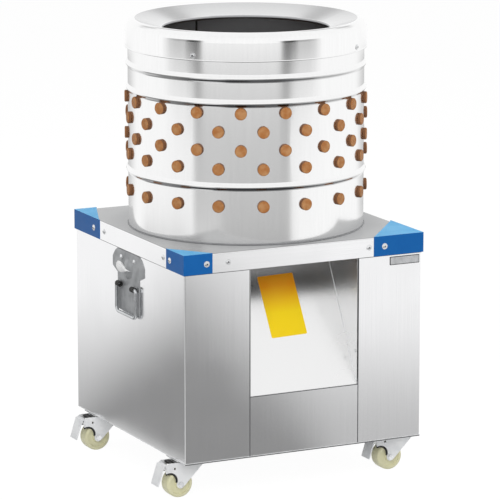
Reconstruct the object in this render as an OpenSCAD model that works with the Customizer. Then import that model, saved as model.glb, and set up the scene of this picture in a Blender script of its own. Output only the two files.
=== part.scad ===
// Drum poultry plucker on a stainless steel cabinet with four swivel castors.
// The origin is on the floor under the drum axis, the front faces -Y and +Z is up.

/* [Cabinet] */
// Width of the top plate
cabinet_w = 550; // [530:1:600]
// Depth of the top plate
cabinet_d = 550; // [530:1:600]
// Height of the cabinet from its underside to the top plate
cabinet_h = 436; // [420:1:500]
// Depth of the folded apron round the top plate
apron_h = 40; // [30:1:50]
// Thickness of the stainless sheet
sheet = 1.5; // [1:0.1:2]
// Outer bend radius of the folded sheets
bend_r = 2.5; // [1:0.1:3]
// Width of the folded return edges of the panels
return_w = 20; // [14:1:24]
// Side of the square frame tube
tube = 25; // [20:1:30]
// Front leg of the front left corner guard
left_guard_w = 65; // [50:1:100]
// Side leg of the front left corner guard
left_guard_d = 84; // [50:1:110]
// Front leg of the front right corner guard
right_guard_w = 117; // [80:1:130]
// Side leg of the front right corner guard
right_guard_d = 142; // [80:1:160]
// Back leg of the two back corner guards
back_guard_w = 52; // [45:1:100]
// Side leg of the two back corner guards
back_guard_d = 133; // [80:1:150]
// Thickness of the corner guards
guard_t = 2; // [1.5:0.1:3]

/* [Chute] */
// Width of the feather outlet
chute_w = 250; // [220:1:280]
// Height of the feather outlet under the apron
chute_h = 268; // [240:1:290]
// Slope of the chute floor in degrees
chute_angle = 62; // [60:0.5:66]
// Width of the discharge slot in the top plate
slot_w = 200; // [160:1:205]
// Front edge of the discharge slot from the drum axis
slot_front = 215; // [200:1:218]
// Back edge of the discharge slot from the drum axis
slot_back = 142; // [135:1:160]

/* [Drum] */
// Outer radius of the drum
drum_r = 249; // [244:0.5:254]
// Thickness of the drum wall
drum_wall = 2; // [1.5:0.1:2.5]
// Height of the drum wall above the top plate
drum_h = 412; // [408:1:420]
// Outward bulge of the rolled beads
bead_out = 4.5; // [3:0.1:6]
// Height of one rolled bead
bead_h = 17; // [12:1:20]
// Radius of the drum mouth
mouth_r = 175; // [160:1:190]
// Rise of the rim's crown above the drum wall
rim_rise = 25; // [23:1:33]
// Bend radius of the rim's shoulder
shoulder_r = 20; // [16:1:22]
// Drop of the rim from its crown to the mouth
mouth_drop = 20; // [12:1:24]
// Radius of the rolled lip at the mouth
lip_r = 4; // [3:0.5:5]
// Depth of the rim's skirt below its crown
skirt_h = 57; // [52:1:58]
// Distance from the drum wall to the outside of the rim's skirt
skirt_out = 5; // [4:0.1:6]

/* [Plucking fingers] */
// Fingers in one row of the drum wall
wall_count = 17; // [12:1:18]
// Height of the top row of fingers above the top plate
top_row_z = 272; // [268:1:274]
// Distance between rows
row_pitch = 38.6; // [37:0.1:39.5]
// Diameter of the finger heads
head_d = 25; // [22:0.5:26]
// Height of the finger heads
head_h = 7; // [4:0.5:9]
// Length of a finger inside the wall
finger_len = 76; // [60:1:80]
// Diameter of the finger necks
neck_d = 20; // [16:0.5:20.5]
// Ribs along one finger
rib_count = 7; // [4:1:9]

/* [Feather plate and drive] */
// Radius of the rotating feather plate
plate_r = 235; // [225:1:238]
// Thickness of the feather plate
plate_t = 3; // [2.5:0.5:4]
// Gap between the top plate and the feather plate
plate_gap = 20; // [18:1:24]
// Diameter of the drive shaft
shaft_d = 30; // [25:1:32]
// Pitch diameter of the driven pulley
driven_d = 220; // [200:1:230]
// Pitch diameter of the motor pulley
motor_pulley_d = 56; // [50:1:64]
// Distance from the drive shaft to the motor shaft
motor_offset = 175; // [170:1:180]
// Diameter of the motor body
motor_d = 140; // [120:1:142]
// Length of the motor body
motor_len = 180; // [150:1:200]
// Diameter of the motor shaft
motor_shaft_d = 19; // [16:1:22]
// Drop of the mid rails below the top plate
rail_drop = 113; // [111:1:118]

/* [Castors] */
// Height of the castors
castor_h = 82; // [80:1:90]
// Radius of the castor wheels
wheel_r = 29; // [26:0.5:30]
// Width of the castor wheels
wheel_w = 32; // [28:1:34]
// Distance from a swivel axis to its axle
trail = 17; // [14:1:19]
// Swivel axes in from the sides of the cabinet
castor_inset_x = 29; // [29:1:40]
// Swivel axes in from the front and the back of the cabinet
castor_inset_y = 65; // [50:1:70]

/* [Handles] */
// Diameter of the handle wire
wire_d = 7; // [5:0.5:8]
// Width of the handle over the wire
bail_w = 104; // [96:1:112]
// Length of the handle below its pivots
bail_drop = 60; // [50:1:70]
// Drop of the handle pivots below the apron
pivot_drop = 75; // [70:1:85]

/* [Switch and cord entry] */
// Diameter of the push buttons
button_d = 22; // [18:1:24]
// Travel of the push buttons
button_travel = 4; // [3:0.5:5]
// Height of a pressed button above its bezel
button_proud = 3; // [2:0.5:5]
// Bore of the cord gland
gland_d = 10; // [8:0.5:12]
// Height of the cord gland above the underside of the cabinet
gland_lift = 68; // [60:1:80]

/* [Hidden] */
$fn = 64;
run_gap = 0.05;
fit_gap = 0.1;
loose_gap = 0.3;
seam = 0.5;
cut = 1;

deck_z = castor_h + cabinet_h;
deck_low = deck_z - sheet;
apron_z = deck_z - apron_h;
panel_x = cabinet_w / 2 - sheet;
panel_y = cabinet_d / 2 - sheet;
frame_x = panel_x - sheet - fit_gap;
frame_y = panel_y - sheet - fit_gap;
frame_z = castor_h + sheet;
rail_z = deck_z - rail_drop;
outlet_z = apron_z - chute_h;
strip_x = chute_w / 2 + seam;
panel_h = deck_low - castor_h;

left_guard = [left_guard_w, left_guard_d];
right_guard = [right_guard_w, right_guard_d];
back_guard = [back_guard_w, back_guard_d];
left_screw_gap = [36, 18];
right_screw_gap = [11, 11];
back_screw_gap = [21, 21];
guard_hole_share = 0.77;
rim_h = drum_h + rim_rise;
rim_seat = skirt_out - drum_wall - loose_gap;
wall_roll_r = 0.75 * rim_seat;
skirt_roll_r = 1.4;
rim_screw_turn = -141.5;
rim_screw_lift = 9;

hole_d = neck_d + 2 * loose_gap;
row_steps = [0, 1, 2, 3, 5];
first_finger = -28.6;
finger_step = 360 / wall_count;
bead_levels = [335, 284, 111];

plate_z = deck_z + plate_gap;
plate_rings = [[85, 6], [145, 12]];
hub_flange_r = 45;
hub_flange_t = 8;
hub_lift = 4;
shaft_hole_r = shaft_d / 2 + 5;
nut_h = 18;
nut_dome_h = 5;
nut_bore_h = nut_h - 6;
paddle_t = 6;
paddle_inner_r = 55;
paddle_outer_r = plate_r - 10;
paddle_lift = 2.5;

bearing_flange = 90;
bearing_flange_t = 10;
bearing_h = 30;
bridge_w = 90;
bridge_t = 6;
bridge_lip = 30;
shaft_low = rail_z - 5;
belt_z = deck_z - 61;
belt_half = 6;
belt_t = 8;
belt_out = 2.75;
groove_angle = 19;
pulley_half = 10;
pulley_edge = 3.5;
belt_lean = asin((driven_d - motor_pulley_d) / 2 / motor_offset);

motor_plate_d = 160;
motor_flange_t = 10;
motor_low = rail_z - motor_flange_t - motor_len;
motor_flange_w = 8;
fan_cover_h = 26;
fan_cover_bevel = 10;
fan_cover_gap = 8;
terminal_box = [34, 76, 80];
terminal_lift = 70;

switch_x = 150;
switch_z = rail_z - 65;
bezel_w = 70;
bezel_h = 110;
bezel_t = 3;
box_w = 58;
box_h = 94;
box_depth = 44;
box_wall = 4;
button_pitch = 44;
button_h = button_travel + button_proud;
gland_z = castor_h + gland_lift;
gland_out = 22;
gland_in = 12;
gland_hex = 26;
gland_thread_d = gland_d + 6;

wire_r = wire_d / 2;
handle_t = 1.5;
pivot_z = apron_z - pivot_drop;
eye_r = wire_r + 2;
bail_x = panel_x + handle_t + eye_r;
leg_y = bail_w / 2 - wire_r;
eye_w = 7;
eye_y = leg_y - wire_r - 1.5 - eye_w;

castor_x = cabinet_w / 2 - castor_inset_x;
castor_y = cabinet_d / 2 - castor_inset_y;
castor_plate_w = 56;
castor_hole_d = 6.6;
castor_hole_in = 8;
race_r = 19;
castor_plate_t = 2.5;
crown_z = castor_h - castor_plate_t - 4;
crown_t = 5;
king_r = 6;
fork_gap = wheel_w + 2;
fork_t = 2.5;
axle_r = 4;
pedal_pin_r = 2.5;
pedal_x = -44;
pedal_z = crown_z - 9.5;
pedal_w = 34;
pedal_t = 2;
shoe_w = 20;
shoe_t = 8;

// Shared helpers

// A block centred on X and Y that stands on its lower face
module block(size_x, size_y, size_z) {
    translate([-size_x / 2, -size_y / 2, 0]) cube([size_x, size_y, size_z]);
}

// Moves the children from the right-hand side to the other side where side is -1
module on_side(side) {
    mirror([side < 0 ? 1 : 0, 0, 0]) children();
}

// Moves the children from the back right corner to the corner that the signs name
module at_corner(side, end) {
    mirror([side < 0 ? 1 : 0, 0, 0]) mirror([0, end < 0 ? 1 : 0, 0]) children();
}

// Cutter that rounds an upright edge at the origin of a piece that lies towards +X and +Y
module edge_cutter(height) {
    difference() {
        translate([-cut, -cut, 0]) cube([bend_r + cut, bend_r + cut, height]);
        translate([bend_r, bend_r, -cut]) cylinder(r = bend_r, h = height + 2 * cut);
    }
}

// End outline of a folded tray with two rounded upper corners, standing on its lower edge
module tray_end(width, height) {
    translate([-width / 2, 0]) square([width, height - bend_r]);
    translate([bend_r - width / 2, 0]) square([width - 2 * bend_r, height]);
    for (side = [-1, 1]) translate([side * (width / 2 - bend_r), height - bend_r]) circle(r = bend_r);
}

// Turns a piece that points up so that it points towards -Y
module facing_front() {
    rotate([90, 0, 0]) children();
}

// Cabinet

// Folded tray with the shaft hole and the slot that lets the feathers out of the drum
module top_plate() {
    color("lightgrey") difference() {
        translate([0, 0, apron_z]) intersection() {
            translate([0, cabinet_d / 2, 0]) facing_front() linear_extrude(cabinet_d)
                tray_end(cabinet_w, apron_h);
            rotate(90) translate([0, cabinet_w / 2, 0]) facing_front()
                linear_extrude(cabinet_w) tray_end(cabinet_d, apron_h);
        }
        translate([0, 0, apron_z - cut])
            block(cabinet_w - 2 * sheet, cabinet_d - 2 * sheet, apron_h - sheet + cut);
        translate([0, 0, apron_z]) cylinder(r = shaft_hole_r, h = apron_h + cut);
        translate([-slot_w / 2, -slot_front, apron_z]) cube([slot_w, slot_front - slot_back, apron_h + cut]);
    }
}

// Welded frame: base ring, corner posts and the side rails that carry the drive
module base_frame() {
    color("grey") {
        for (side = [-1, 1], end = [-1, 1]) at_corner(side, end) {
            translate([frame_x - tube, frame_y - tube, frame_z]) cube([tube, tube, deck_low - frame_z]);
        }
        for (side = [-1, 1]) on_side(side) {
            translate([frame_x - tube, -frame_y, frame_z]) cube([tube, 2 * frame_y, tube]);
            translate([frame_x - tube, -frame_y, rail_z - tube]) cube([tube, 2 * frame_y, tube]);
        }
        for (end = [-1, 1]) at_corner(1, end) {
            translate([-frame_x, frame_y - tube, frame_z]) cube([2 * frame_x, tube, tube]);
        }
    }
}

// Side panel that wraps round the front corner to the feather outlet
module side_panel(side) {
    return_low = sheet + tube + seam;
    return_end = 2 * panel_y - sheet - seam;
    color("silver") on_side(side) translate([0, 0, castor_h]) difference() {
        union() {
            translate([panel_x - sheet, -panel_y, 0]) cube([sheet, 2 * panel_y, panel_h]);
            translate([strip_x, -panel_y, 0]) cube([panel_x - strip_x, sheet, panel_h]);
            translate([strip_x, -panel_y, return_low]) cube([sheet, return_w, panel_h - return_low]);
            translate([panel_x - return_w, -panel_y, 0]) cube([return_w, return_end, sheet]);
            translate([strip_x, -panel_y, 0]) cube([panel_x - strip_x, return_w, sheet]);
        }
        translate([panel_x, -panel_y, -cut]) mirror([1, 0, 0]) edge_cutter(panel_h + 2 * cut);
    }
}

// Lower front panel between the two side panels
module front_panel() {
    color("silver") {
        translate([-chute_w / 2, -panel_y, castor_h]) cube([chute_w, sheet, outlet_z - seam - castor_h]);
        translate([-chute_w / 2, -panel_y, castor_h]) cube([chute_w, return_w, sheet]);
    }
}

// Rear panel with cooling slots, the switch cut-out and the cord entry
module back_panel() {
    width = 2 * (panel_x - sheet - seam);
    slot_count = 8;
    slot_pitch = 14;
    slot_long = 90;
    slot_high = 5;
    slot_low = motor_low + 40;
    color("silver") difference() {
        translate([-width / 2, panel_y - sheet, castor_h]) cube([width, sheet, panel_h]);
        for (i = [0 : slot_count - 1])
            translate([-slot_long / 2, panel_y - sheet - cut, slot_low + i * slot_pitch])
                cube([slot_long, sheet + 2 * cut, slot_high]);
        translate([switch_x - box_w / 2 - loose_gap, panel_y - sheet - cut, switch_z - box_h / 2 - loose_gap])
            cube([box_w + 2 * loose_gap, sheet + 2 * cut, box_h + 2 * loose_gap]);
        translate([switch_x, panel_y + cut, gland_z])
            facing_front() cylinder(d = gland_thread_d + 2 * fit_gap, h = sheet + 2 * cut);
    }
}

// Sloping feather chute: one folded sheet with a floor and two side walls
module chute() {
    front = -frame_y;
    top = deck_low - fit_gap;
    run = (top - outlet_z) / tan(chute_angle);
    outer_w = chute_w - 2 * fit_gap;
    inner_w = outer_w - 2 * sheet;
    color("gainsboro") difference() {
        translate([-outer_w / 2, 0, 0]) rotate([90, 0, 90]) linear_extrude(outer_w) polygon([
            [front, outlet_z - sheet / cos(chute_angle)],
            [front + run + sheet / sin(chute_angle), top],
            [front, top]
        ]);
        translate([-inner_w / 2, 0, 0]) rotate([90, 0, 90]) linear_extrude(inner_w) polygon([
            [front - cut, outlet_z - cut * tan(chute_angle)],
            [front + run + cut / tan(chute_angle), top + cut],
            [front - cut, top + cut]
        ]);
    }
}

// Three-sided guard over one corner of the apron
module corner_guard(side, end) {
    x = cabinet_w / 2 + guard_t;
    y = cabinet_d / 2 + guard_t;
    legs = legs_at(side, end);
    color("royalblue") at_corner(side, end) {
        translate([0, 0, deck_z]) linear_extrude(guard_t)
            polygon([[x, y], [x - legs.x, y], [x, y - legs.y]]);
        translate([x - guard_t, y - legs.y, apron_z]) cube([guard_t, legs.y, apron_h + guard_t]);
        translate([x - legs.x, y - guard_t, apron_z]) cube([legs.x, guard_t, apron_h + guard_t]);
    }
}

// Domed screw head that stands on its seat and points up
module screw_head() {
    head_r = 4.5;
    face_r = 2.6;
    seat_h = 1.2;
    dome_h = 1.3;
    cylinder(r = head_r, h = seat_h);
    translate([0, 0, seat_h]) cylinder(r1 = head_r, r2 = face_r, h = dome_h);
}

// Legs of the guard at one corner, across the cabinet and along its depth
function legs_at(side, end) = end > 0 ? back_guard : side < 0 ? left_guard : right_guard;

// Gaps from the guard at one corner to the apron screws beside it
function screw_gaps_at(side, end) =
    end > 0 ? back_screw_gap : side < 0 ? left_screw_gap : right_screw_gap;

// Screw heads of the apron, the corner guards and the drum rim
module panel_screws() {
    level = deck_z - apron_h / 2;
    front = cabinet_d / 2;
    flank = cabinet_w / 2;
    rim_face = drum_r + skirt_out;
    color("whitesmoke") {
        for (side = [-1, 1], end = [-1, 1]) at_corner(side, end) {
            beside = legs_at(side, end) + screw_gaps_at(side, end) - [guard_t, guard_t];
            translate([flank - beside.x, front, level]) rotate([-90, 0, 0]) screw_head();
            translate([flank, front - beside.y, level]) rotate([0, 90, 0]) screw_head();
        }
        for (side = [-1, 1], end = [-1, 1]) at_corner(side, end) {
            hole = guard_hole_share * legs_at(side, end);
            translate([flank - hole.x, front + guard_t, level]) rotate([-90, 0, 0]) screw_head();
            translate([flank + guard_t, front - hole.y, level]) rotate([0, 90, 0]) screw_head();
        }
        for (i = [0 : 3]) rotate(rim_screw_turn + 90 * i)
            translate([rim_face, 0, deck_z + rim_h - skirt_h + rim_screw_lift]) rotate([0, 90, 0])
                screw_head();
    }
}

// Drum

// Outline of one bulge of the drum wall, from its lower edge up
function bead_points(low, radius) = [
    for (i = [0 : 8]) [radius + bead_out * (1 - cos(45 * i)) / 2, low + bead_h * i / 8]
];

// Outline of the drum wall with its three beads, from the bottom up
function wall_points(radius) = concat(
    [[radius, 0]],
    bead_points(bead_levels[2], radius),
    bead_points(bead_levels[1], radius),
    bead_points(bead_levels[0], radius),
    [[radius, drum_h - wall_roll_r]]
);

// Reverses a list of points
function reversed(points) = [for (i = [len(points) - 1 : -1 : 0]) points[i]];

// Drum wall with a base flange inside, a rolled top edge and a hole for every finger
module drum_shell() {
    flange_w = 7;
    color("gainsboro") difference() {
        translate([0, 0, deck_z]) rotate_extrude($fn = 128) union() {
            polygon(concat(wall_points(drum_r), reversed(wall_points(drum_r - drum_wall))));
            translate([drum_r - drum_wall - flange_w, 0]) square([drum_wall + flange_w, drum_wall]);
            translate([drum_r + rim_seat - wall_roll_r, drum_h - wall_roll_r]) circle(r = wall_roll_r);
        }
        wall_places() translate([-2 * drum_wall, 0, 0]) rotate([0, 90, 0])
            cylinder(d = hole_d, h = 4 * drum_wall);
    }
}

// Places the children at every finger of the drum wall, with +X pointing out of the drum
module wall_places() {
    for (row = [0 : len(row_steps) - 1], i = [0 : wall_count - 1]) {
        stagger = row == 0 || row == 2 ? 0 : 0.5;
        rotate(first_finger - 90 + (i + stagger) * finger_step)
            translate([drum_r, 0, deck_z + top_row_z - row_steps[row] * row_pitch]) children();
    }
}

// Ring that closes the top of the drum, with a sloping crown and a rolled mouth
module drum_rim() {
    outer_r = drum_r + skirt_out;
    inner_r = outer_r - drum_wall;
    skirt_low = rim_h - skirt_h;
    arc = [for (i = [0 : 8]) [cos(11.25 * i), sin(11.25 * i)]];
    crown_r = outer_r - shoulder_r;
    bend_z = rim_h - shoulder_r;
    mouth_z = rim_h - mouth_drop;
    color("gainsboro") translate([0, 0, deck_z]) rotate_extrude($fn = 128) union() {
        polygon(concat(
            [[outer_r, skirt_low]],
            [for (point = arc) [crown_r, bend_z] + shoulder_r * point],
            [[mouth_r + lip_r, mouth_z], [mouth_r + lip_r, mouth_z - drum_wall]],
            [for (point = reversed(arc)) [crown_r, bend_z] + (shoulder_r - drum_wall) * point],
            [[inner_r, skirt_low]]
        ));
        translate([mouth_r + lip_r, mouth_z - lip_r]) circle(r = lip_r);
        translate([outer_r, skirt_low]) circle(r = skirt_roll_r);
    }
}

// Rubber plucking finger along Z with its head up, seated through a wall whose outer face is at 0
module finger(wall) {
    head_r = head_d / 2;
    flange_z = -wall - 2 * loose_gap;
    flange_t = 4;
    root_z = flange_z - flange_t;
    rib_pitch = (finger_len + root_z) / rib_count;
    root_r = 10;
    tip_r = 7.5;
    rib_depth = 1.6;
    edge = 1.5;
    rotate_extrude($fn = 32) polygon(concat(
        [[0, head_h], [head_r - edge, head_h], [head_r, head_h - edge],
         [head_r, fit_gap], [neck_d / 2, fit_gap]],
        [[neck_d / 2, flange_z], [head_r, flange_z], [head_r, root_z]],
        [for (i = [0 : rib_count - 1], step = [0, 1])
            [root_r - (root_r - tip_r) * i / rib_count - step * rib_depth, root_z - (i + step) * rib_pitch]],
        [[0, -finger_len]]
    ));
}

// Fingers of the drum wall
module wall_fingers() {
    color("peru") wall_places() rotate([0, 90, 0]) finger(drum_wall);
}

// Rotating plate, shaft and drive

// Places the children at every finger of the feather plate
module plate_places() {
    for (ring = plate_rings, i = [0 : ring[1] - 1])
        rotate((i + 0.5) * 360 / ring[1]) translate([ring[0], 0, plate_z]) children();
}

// Disc at the bottom of the drum that carries the birds round
module feather_plate() {
    color("silver") difference() {
        translate([0, 0, plate_z]) cylinder(r = plate_r, h = plate_t, $fn = 128);
        translate([0, 0, plate_z - cut]) cylinder(d = shaft_d + 2 * run_gap, h = plate_t + 2 * cut);
        plate_places() translate([0, 0, -cut]) cylinder(d = hole_d, h = plate_t + 2 * cut);
    }
}

// Fingers of the feather plate, which point up and have their heads underneath
module plate_fingers() {
    color("peru") plate_places() rotate([180, 0, 0]) finger(plate_t);
}

// Two paddles under the feather plate that sweep the feathers to the slot
module sweeper_paddles() {
    lift = deck_z + paddle_lift;
    color("dimgrey") for (side = [-1, 1]) on_side(side)
        translate([paddle_inner_r, -paddle_t / 2, lift])
            cube([paddle_outer_r - paddle_inner_r, paddle_t, plate_z - fit_gap - lift]);
}

// Flanged hub between the shaft and the feather plate
module plate_hub() {
    boss_d = shaft_d + 22;
    color("grey") difference() {
        union() {
            translate([0, 0, plate_z - hub_flange_t]) cylinder(r = hub_flange_r, h = hub_flange_t);
            translate([0, 0, deck_z + hub_lift]) cylinder(d = boss_d, h = plate_gap - hub_lift);
        }
        translate([0, 0, deck_z]) cylinder(d = shaft_d + 2 * run_gap, h = plate_gap + cut);
    }
}

// Domed nut that clamps the feather plate
module plate_nut() {
    seat = plate_z + plate_t;
    flats_d = shaft_d + 24;
    dome_d = shaft_d + 12;
    tip_d = shaft_d - 6;
    color("silver") difference() {
        union() {
            translate([0, 0, seat]) cylinder(d = flats_d, h = nut_h - nut_dome_h, $fn = 6);
            translate([0, 0, seat + nut_h - nut_dome_h])
                cylinder(d1 = dome_d, d2 = tip_d, h = nut_dome_h);
        }
        translate([0, 0, seat - cut]) cylinder(d = shaft_d + 2 * run_gap, h = nut_bore_h + cut);
    }
}

// Upright drive shaft
module drive_shaft() {
    color("darkgrey") translate([0, 0, shaft_low])
        cylinder(d = shaft_d, h = plate_z + plate_t + nut_bore_h - loose_gap - shaft_low);
}

// Flanged bearing that stands on its square flange
module flange_bearing() {
    base_d = shaft_d + 46;
    face_d = shaft_d + 36;
    bolt_in = 10;
    bolt_d = 9;
    difference() {
        union() {
            block(bearing_flange, bearing_flange, bearing_flange_t);
            cylinder(d1 = base_d, d2 = face_d, h = bearing_h);
        }
        translate([0, 0, -cut]) cylinder(d = shaft_d + 2 * run_gap, h = bearing_h + 2 * cut);
        for (x = [-1, 1], y = [-1, 1]) translate([x, y, 0] * (bearing_flange / 2 - bolt_in))
            translate([0, 0, -cut]) cylinder(d = bolt_d, h = bearing_flange_t + 2 * cut);
    }
}

// Bearing under the top plate
module upper_bearing() {
    color("slategrey") translate([0, 0, deck_low]) mirror([0, 0, 1]) flange_bearing();
}

// Bearing on the cross bridge
module lower_bearing() {
    color("slategrey") translate([0, 0, rail_z + bridge_t]) flange_bearing();
}

// Folded channel that spans the side rails and carries the lower bearing
module bearing_bridge() {
    lip_span = 2 * (frame_x - tube - seam);
    color("grey") difference() {
        union() {
            translate([0, 0, rail_z]) block(2 * frame_x, bridge_w, bridge_t);
            for (end = [-1, 1]) translate([0, end * (bridge_w - bridge_t) / 2, rail_z - bridge_lip])
                block(lip_span, bridge_t, bridge_lip);
        }
        translate([0, 0, rail_z - cut]) cylinder(r = shaft_hole_r, h = bridge_t + 2 * cut);
    }
}

// Half width of the belt at a distance from its pitch line
function belt_side(out) = belt_half + (out - belt_out) * tan(groove_angle);

// Section of a pulley rim with its groove, from the axis outwards
module pulley_section(pitch_r, inner_r) {
    rim = pitch_r + pulley_edge;
    root = belt_out - belt_t - 1;
    polygon([
        [inner_r, -pulley_half], [rim, -pulley_half], [rim, -belt_side(pulley_edge) - loose_gap],
        [pitch_r + root, -belt_side(root) - loose_gap], [pitch_r + root, belt_side(root) + loose_gap],
        [rim, belt_side(pulley_edge) + loose_gap], [rim, pulley_half], [inner_r, pulley_half]
    ]);
}

// Large pulley on the drive shaft, with a pierced web
module driven_pulley() {
    rim_in = driven_d / 2 - 18;
    hub_r = shaft_d / 2 + 12;
    web_t = 8;
    web_holes = 5;
    web_edge = 8;
    hub_half = pulley_half + 4;
    color("dimgrey") translate([0, 0, belt_z]) difference() {
        union() {
            rotate_extrude($fn = 96) pulley_section(driven_d / 2, rim_in);
            translate([0, 0, -web_t / 2]) cylinder(r = rim_in + cut, h = web_t);
            translate([0, 0, -hub_half]) cylinder(r = hub_r, h = 2 * hub_half);
        }
        translate([0, 0, -2 * pulley_half]) cylinder(d = shaft_d + 2 * run_gap, h = 4 * pulley_half);
        for (i = [0 : web_holes - 1]) rotate(i * 360 / web_holes)
            translate([(rim_in + hub_r) / 2, 0, -web_t])
                cylinder(r = (rim_in - hub_r) / 2 - web_edge, h = 2 * web_t);
    }
}

// Small pulley on the motor shaft
module motor_pulley() {
    color("dimgrey") translate([0, motor_offset, belt_z]) difference() {
        rotate_extrude() pulley_section(motor_pulley_d / 2, 0);
        translate([0, 0, -2 * pulley_half]) cylinder(d = motor_shaft_d + 2 * run_gap, h = 4 * pulley_half);
    }
}

// Section of the V-belt at a pulley of the given pitch radius, drawn in by the inset on all sides
module belt_section(pitch_r, inset = 0) {
    inner = belt_out - belt_t + inset;
    outer = belt_out - inset;
    polygon([
        [pitch_r + inner, inset - belt_side(inner)], [pitch_r + outer, inset - belt_side(outer)],
        [pitch_r + outer, belt_side(outer) - inset], [pitch_r + inner, belt_side(inner) - inset]
    ]);
}

// V-belt round both pulleys
module drive_belt() {
    run = motor_offset * cos(belt_lean);
    lap = 1;
    color("black") translate([0, 0, belt_z]) {
        rotate(180 - belt_lean)
            rotate_extrude(angle = 180 + 2 * belt_lean, $fn = 96) belt_section(driven_d / 2);
        translate([0, motor_offset, 0]) rotate(belt_lean)
            rotate_extrude(angle = 180 - 2 * belt_lean) belt_section(motor_pulley_d / 2);
        for (side = [-1, 1]) on_side(side) rotate(belt_lean)
            translate([0, run + lap, 0]) rotate([90, 0, 0])
                linear_extrude(run + 2 * lap) belt_section(driven_d / 2, run_gap);
    }
}

// Plate across the side rails that the motor hangs from
module motor_plate() {
    hole_across = motor_shaft_d + 40;
    color("grey") difference() {
        translate([0, motor_offset, rail_z]) block(2 * frame_x, motor_plate_d, bridge_t);
        translate([0, motor_offset, rail_z - cut]) cylinder(d = hole_across, h = bridge_t + 2 * cut);
        for (side = [-1, 1]) on_side(side)
            translate([frame_x - tube - seam, frame_y - tube - seam, rail_z - cut])
                cube([tube + 2 * seam, tube + 2 * seam, bridge_t + 2 * cut]);
    }
}

// Ribbed motor housing with its mounting flange, bored for the motor shaft
module motor_body() {
    fin_count = 20;
    fin = 4;
    fin_t = 3;
    fin_root = 2;
    fin_inset = 12;
    color("darkslategrey") translate([0, motor_offset, 0]) difference() {
        union() {
            translate([0, 0, rail_z - motor_flange_t])
                cylinder(d = motor_d + motor_flange_w, h = motor_flange_t);
            translate([0, 0, motor_low]) cylinder(d = motor_d - 2 * fin, h = motor_len);
            for (i = [0 : fin_count - 1]) rotate(i * 360 / fin_count)
                translate([motor_d / 2 - fin - fin_root, -fin_t / 2, motor_low + fin_inset])
                    cube([fin + fin_root, fin_t, motor_len - 2 * fin_inset]);
        }
        translate([0, 0, motor_low + motor_len / 2])
            cylinder(d = motor_shaft_d + 2 * run_gap, h = motor_len);
    }
}

// Domed cover over the motor's fan
module motor_fan_cover() {
    color("black") translate([0, motor_offset, motor_low - fan_cover_h]) {
        cylinder(d1 = motor_d - 3 * fan_cover_gap, d2 = motor_d - fan_cover_gap, h = fan_cover_bevel);
        translate([0, 0, fan_cover_bevel])
            cylinder(d = motor_d - fan_cover_gap, h = fan_cover_h - fan_cover_bevel);
    }
}

// Terminal box on the side of the motor
module motor_terminal_box() {
    color("dimgrey")
        translate([-motor_d / 2 - terminal_box.x, motor_offset - terminal_box.y / 2,
            motor_low + terminal_lift])
            cube(terminal_box - [loose_gap, 0, 0]);
}

// Motor shaft
module motor_shaft() {
    low = motor_low + motor_len / 2 + loose_gap;
    shaft_end = 4;
    high = belt_z + pulley_half + shaft_end;
    color("darkgrey") translate([0, motor_offset, low]) cylinder(d = motor_shaft_d, h = high - low);
}

// Switch and cord entry

// Switch housing behind the rear panel, with a bezel and two button holes
module switch_box() {
    face = panel_y + bezel_t;
    color("dimgrey") difference() {
        translate([switch_x, 0, switch_z]) union() {
            translate([-bezel_w / 2, panel_y, -bezel_h / 2]) cube([bezel_w, bezel_t, bezel_h]);
            translate([-box_w / 2, panel_y - box_depth, -box_h / 2]) cube([box_w, box_depth, box_h]);
        }
        translate([switch_x, panel_y - box_depth / 2, switch_z - box_h / 2 + box_wall])
            block(box_w - 2 * box_wall, box_depth - 2 * box_wall, box_h - 2 * box_wall);
        for (place = [-1, 1]) translate([switch_x, face + cut, switch_z + place * button_pitch / 2])
            facing_front() cylinder(d = button_d + 2 * run_gap, h = box_wall + bezel_t + 2 * cut);
    }
}

// Push button with a rounded face, at one of the two button holes
module push_button(place) {
    button_in = 3;
    edge = 1;
    reach = box_wall + bezel_t + button_in;
    barrel = reach + button_h - edge;
    translate([switch_x, panel_y + bezel_t - reach, switch_z + place * button_pitch / 2])
        rotate([-90, 0, 0]) {
            cylinder(d = button_d, h = barrel);
            translate([0, 0, barrel]) cylinder(d1 = button_d, d2 = button_d - 2 * edge, h = edge);
        }
}

// Upper button
module start_button() {
    color("green") push_button(1);
}

// Lower button
module stop_button() {
    color("red") push_button(-1);
}

// Screwed gland for the supply cord
module cable_gland() {
    lock_nut_h = 6;
    flats_h = 7;
    cap_d = gland_hex - 4;
    color("black") translate([switch_x, panel_y, gland_z]) rotate([-90, 0, 0]) difference() {
        union() {
            translate([0, 0, -sheet - gland_in]) cylinder(d = gland_thread_d, h = gland_in + sheet + cut);
            translate([0, 0, -sheet - lock_nut_h]) cylinder(d = gland_hex, h = lock_nut_h - fit_gap, $fn = 6);
            translate([0, 0, fit_gap]) cylinder(d = gland_hex, h = flats_h, $fn = 6);
            translate([0, 0, flats_h]) cylinder(d1 = cap_d, d2 = gland_thread_d, h = gland_out - flats_h);
        }
        translate([0, 0, -sheet - gland_in - cut])
            cylinder(d = gland_d, h = gland_in + sheet + gland_out + 2 * cut);
    }
}

// Handles

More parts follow.
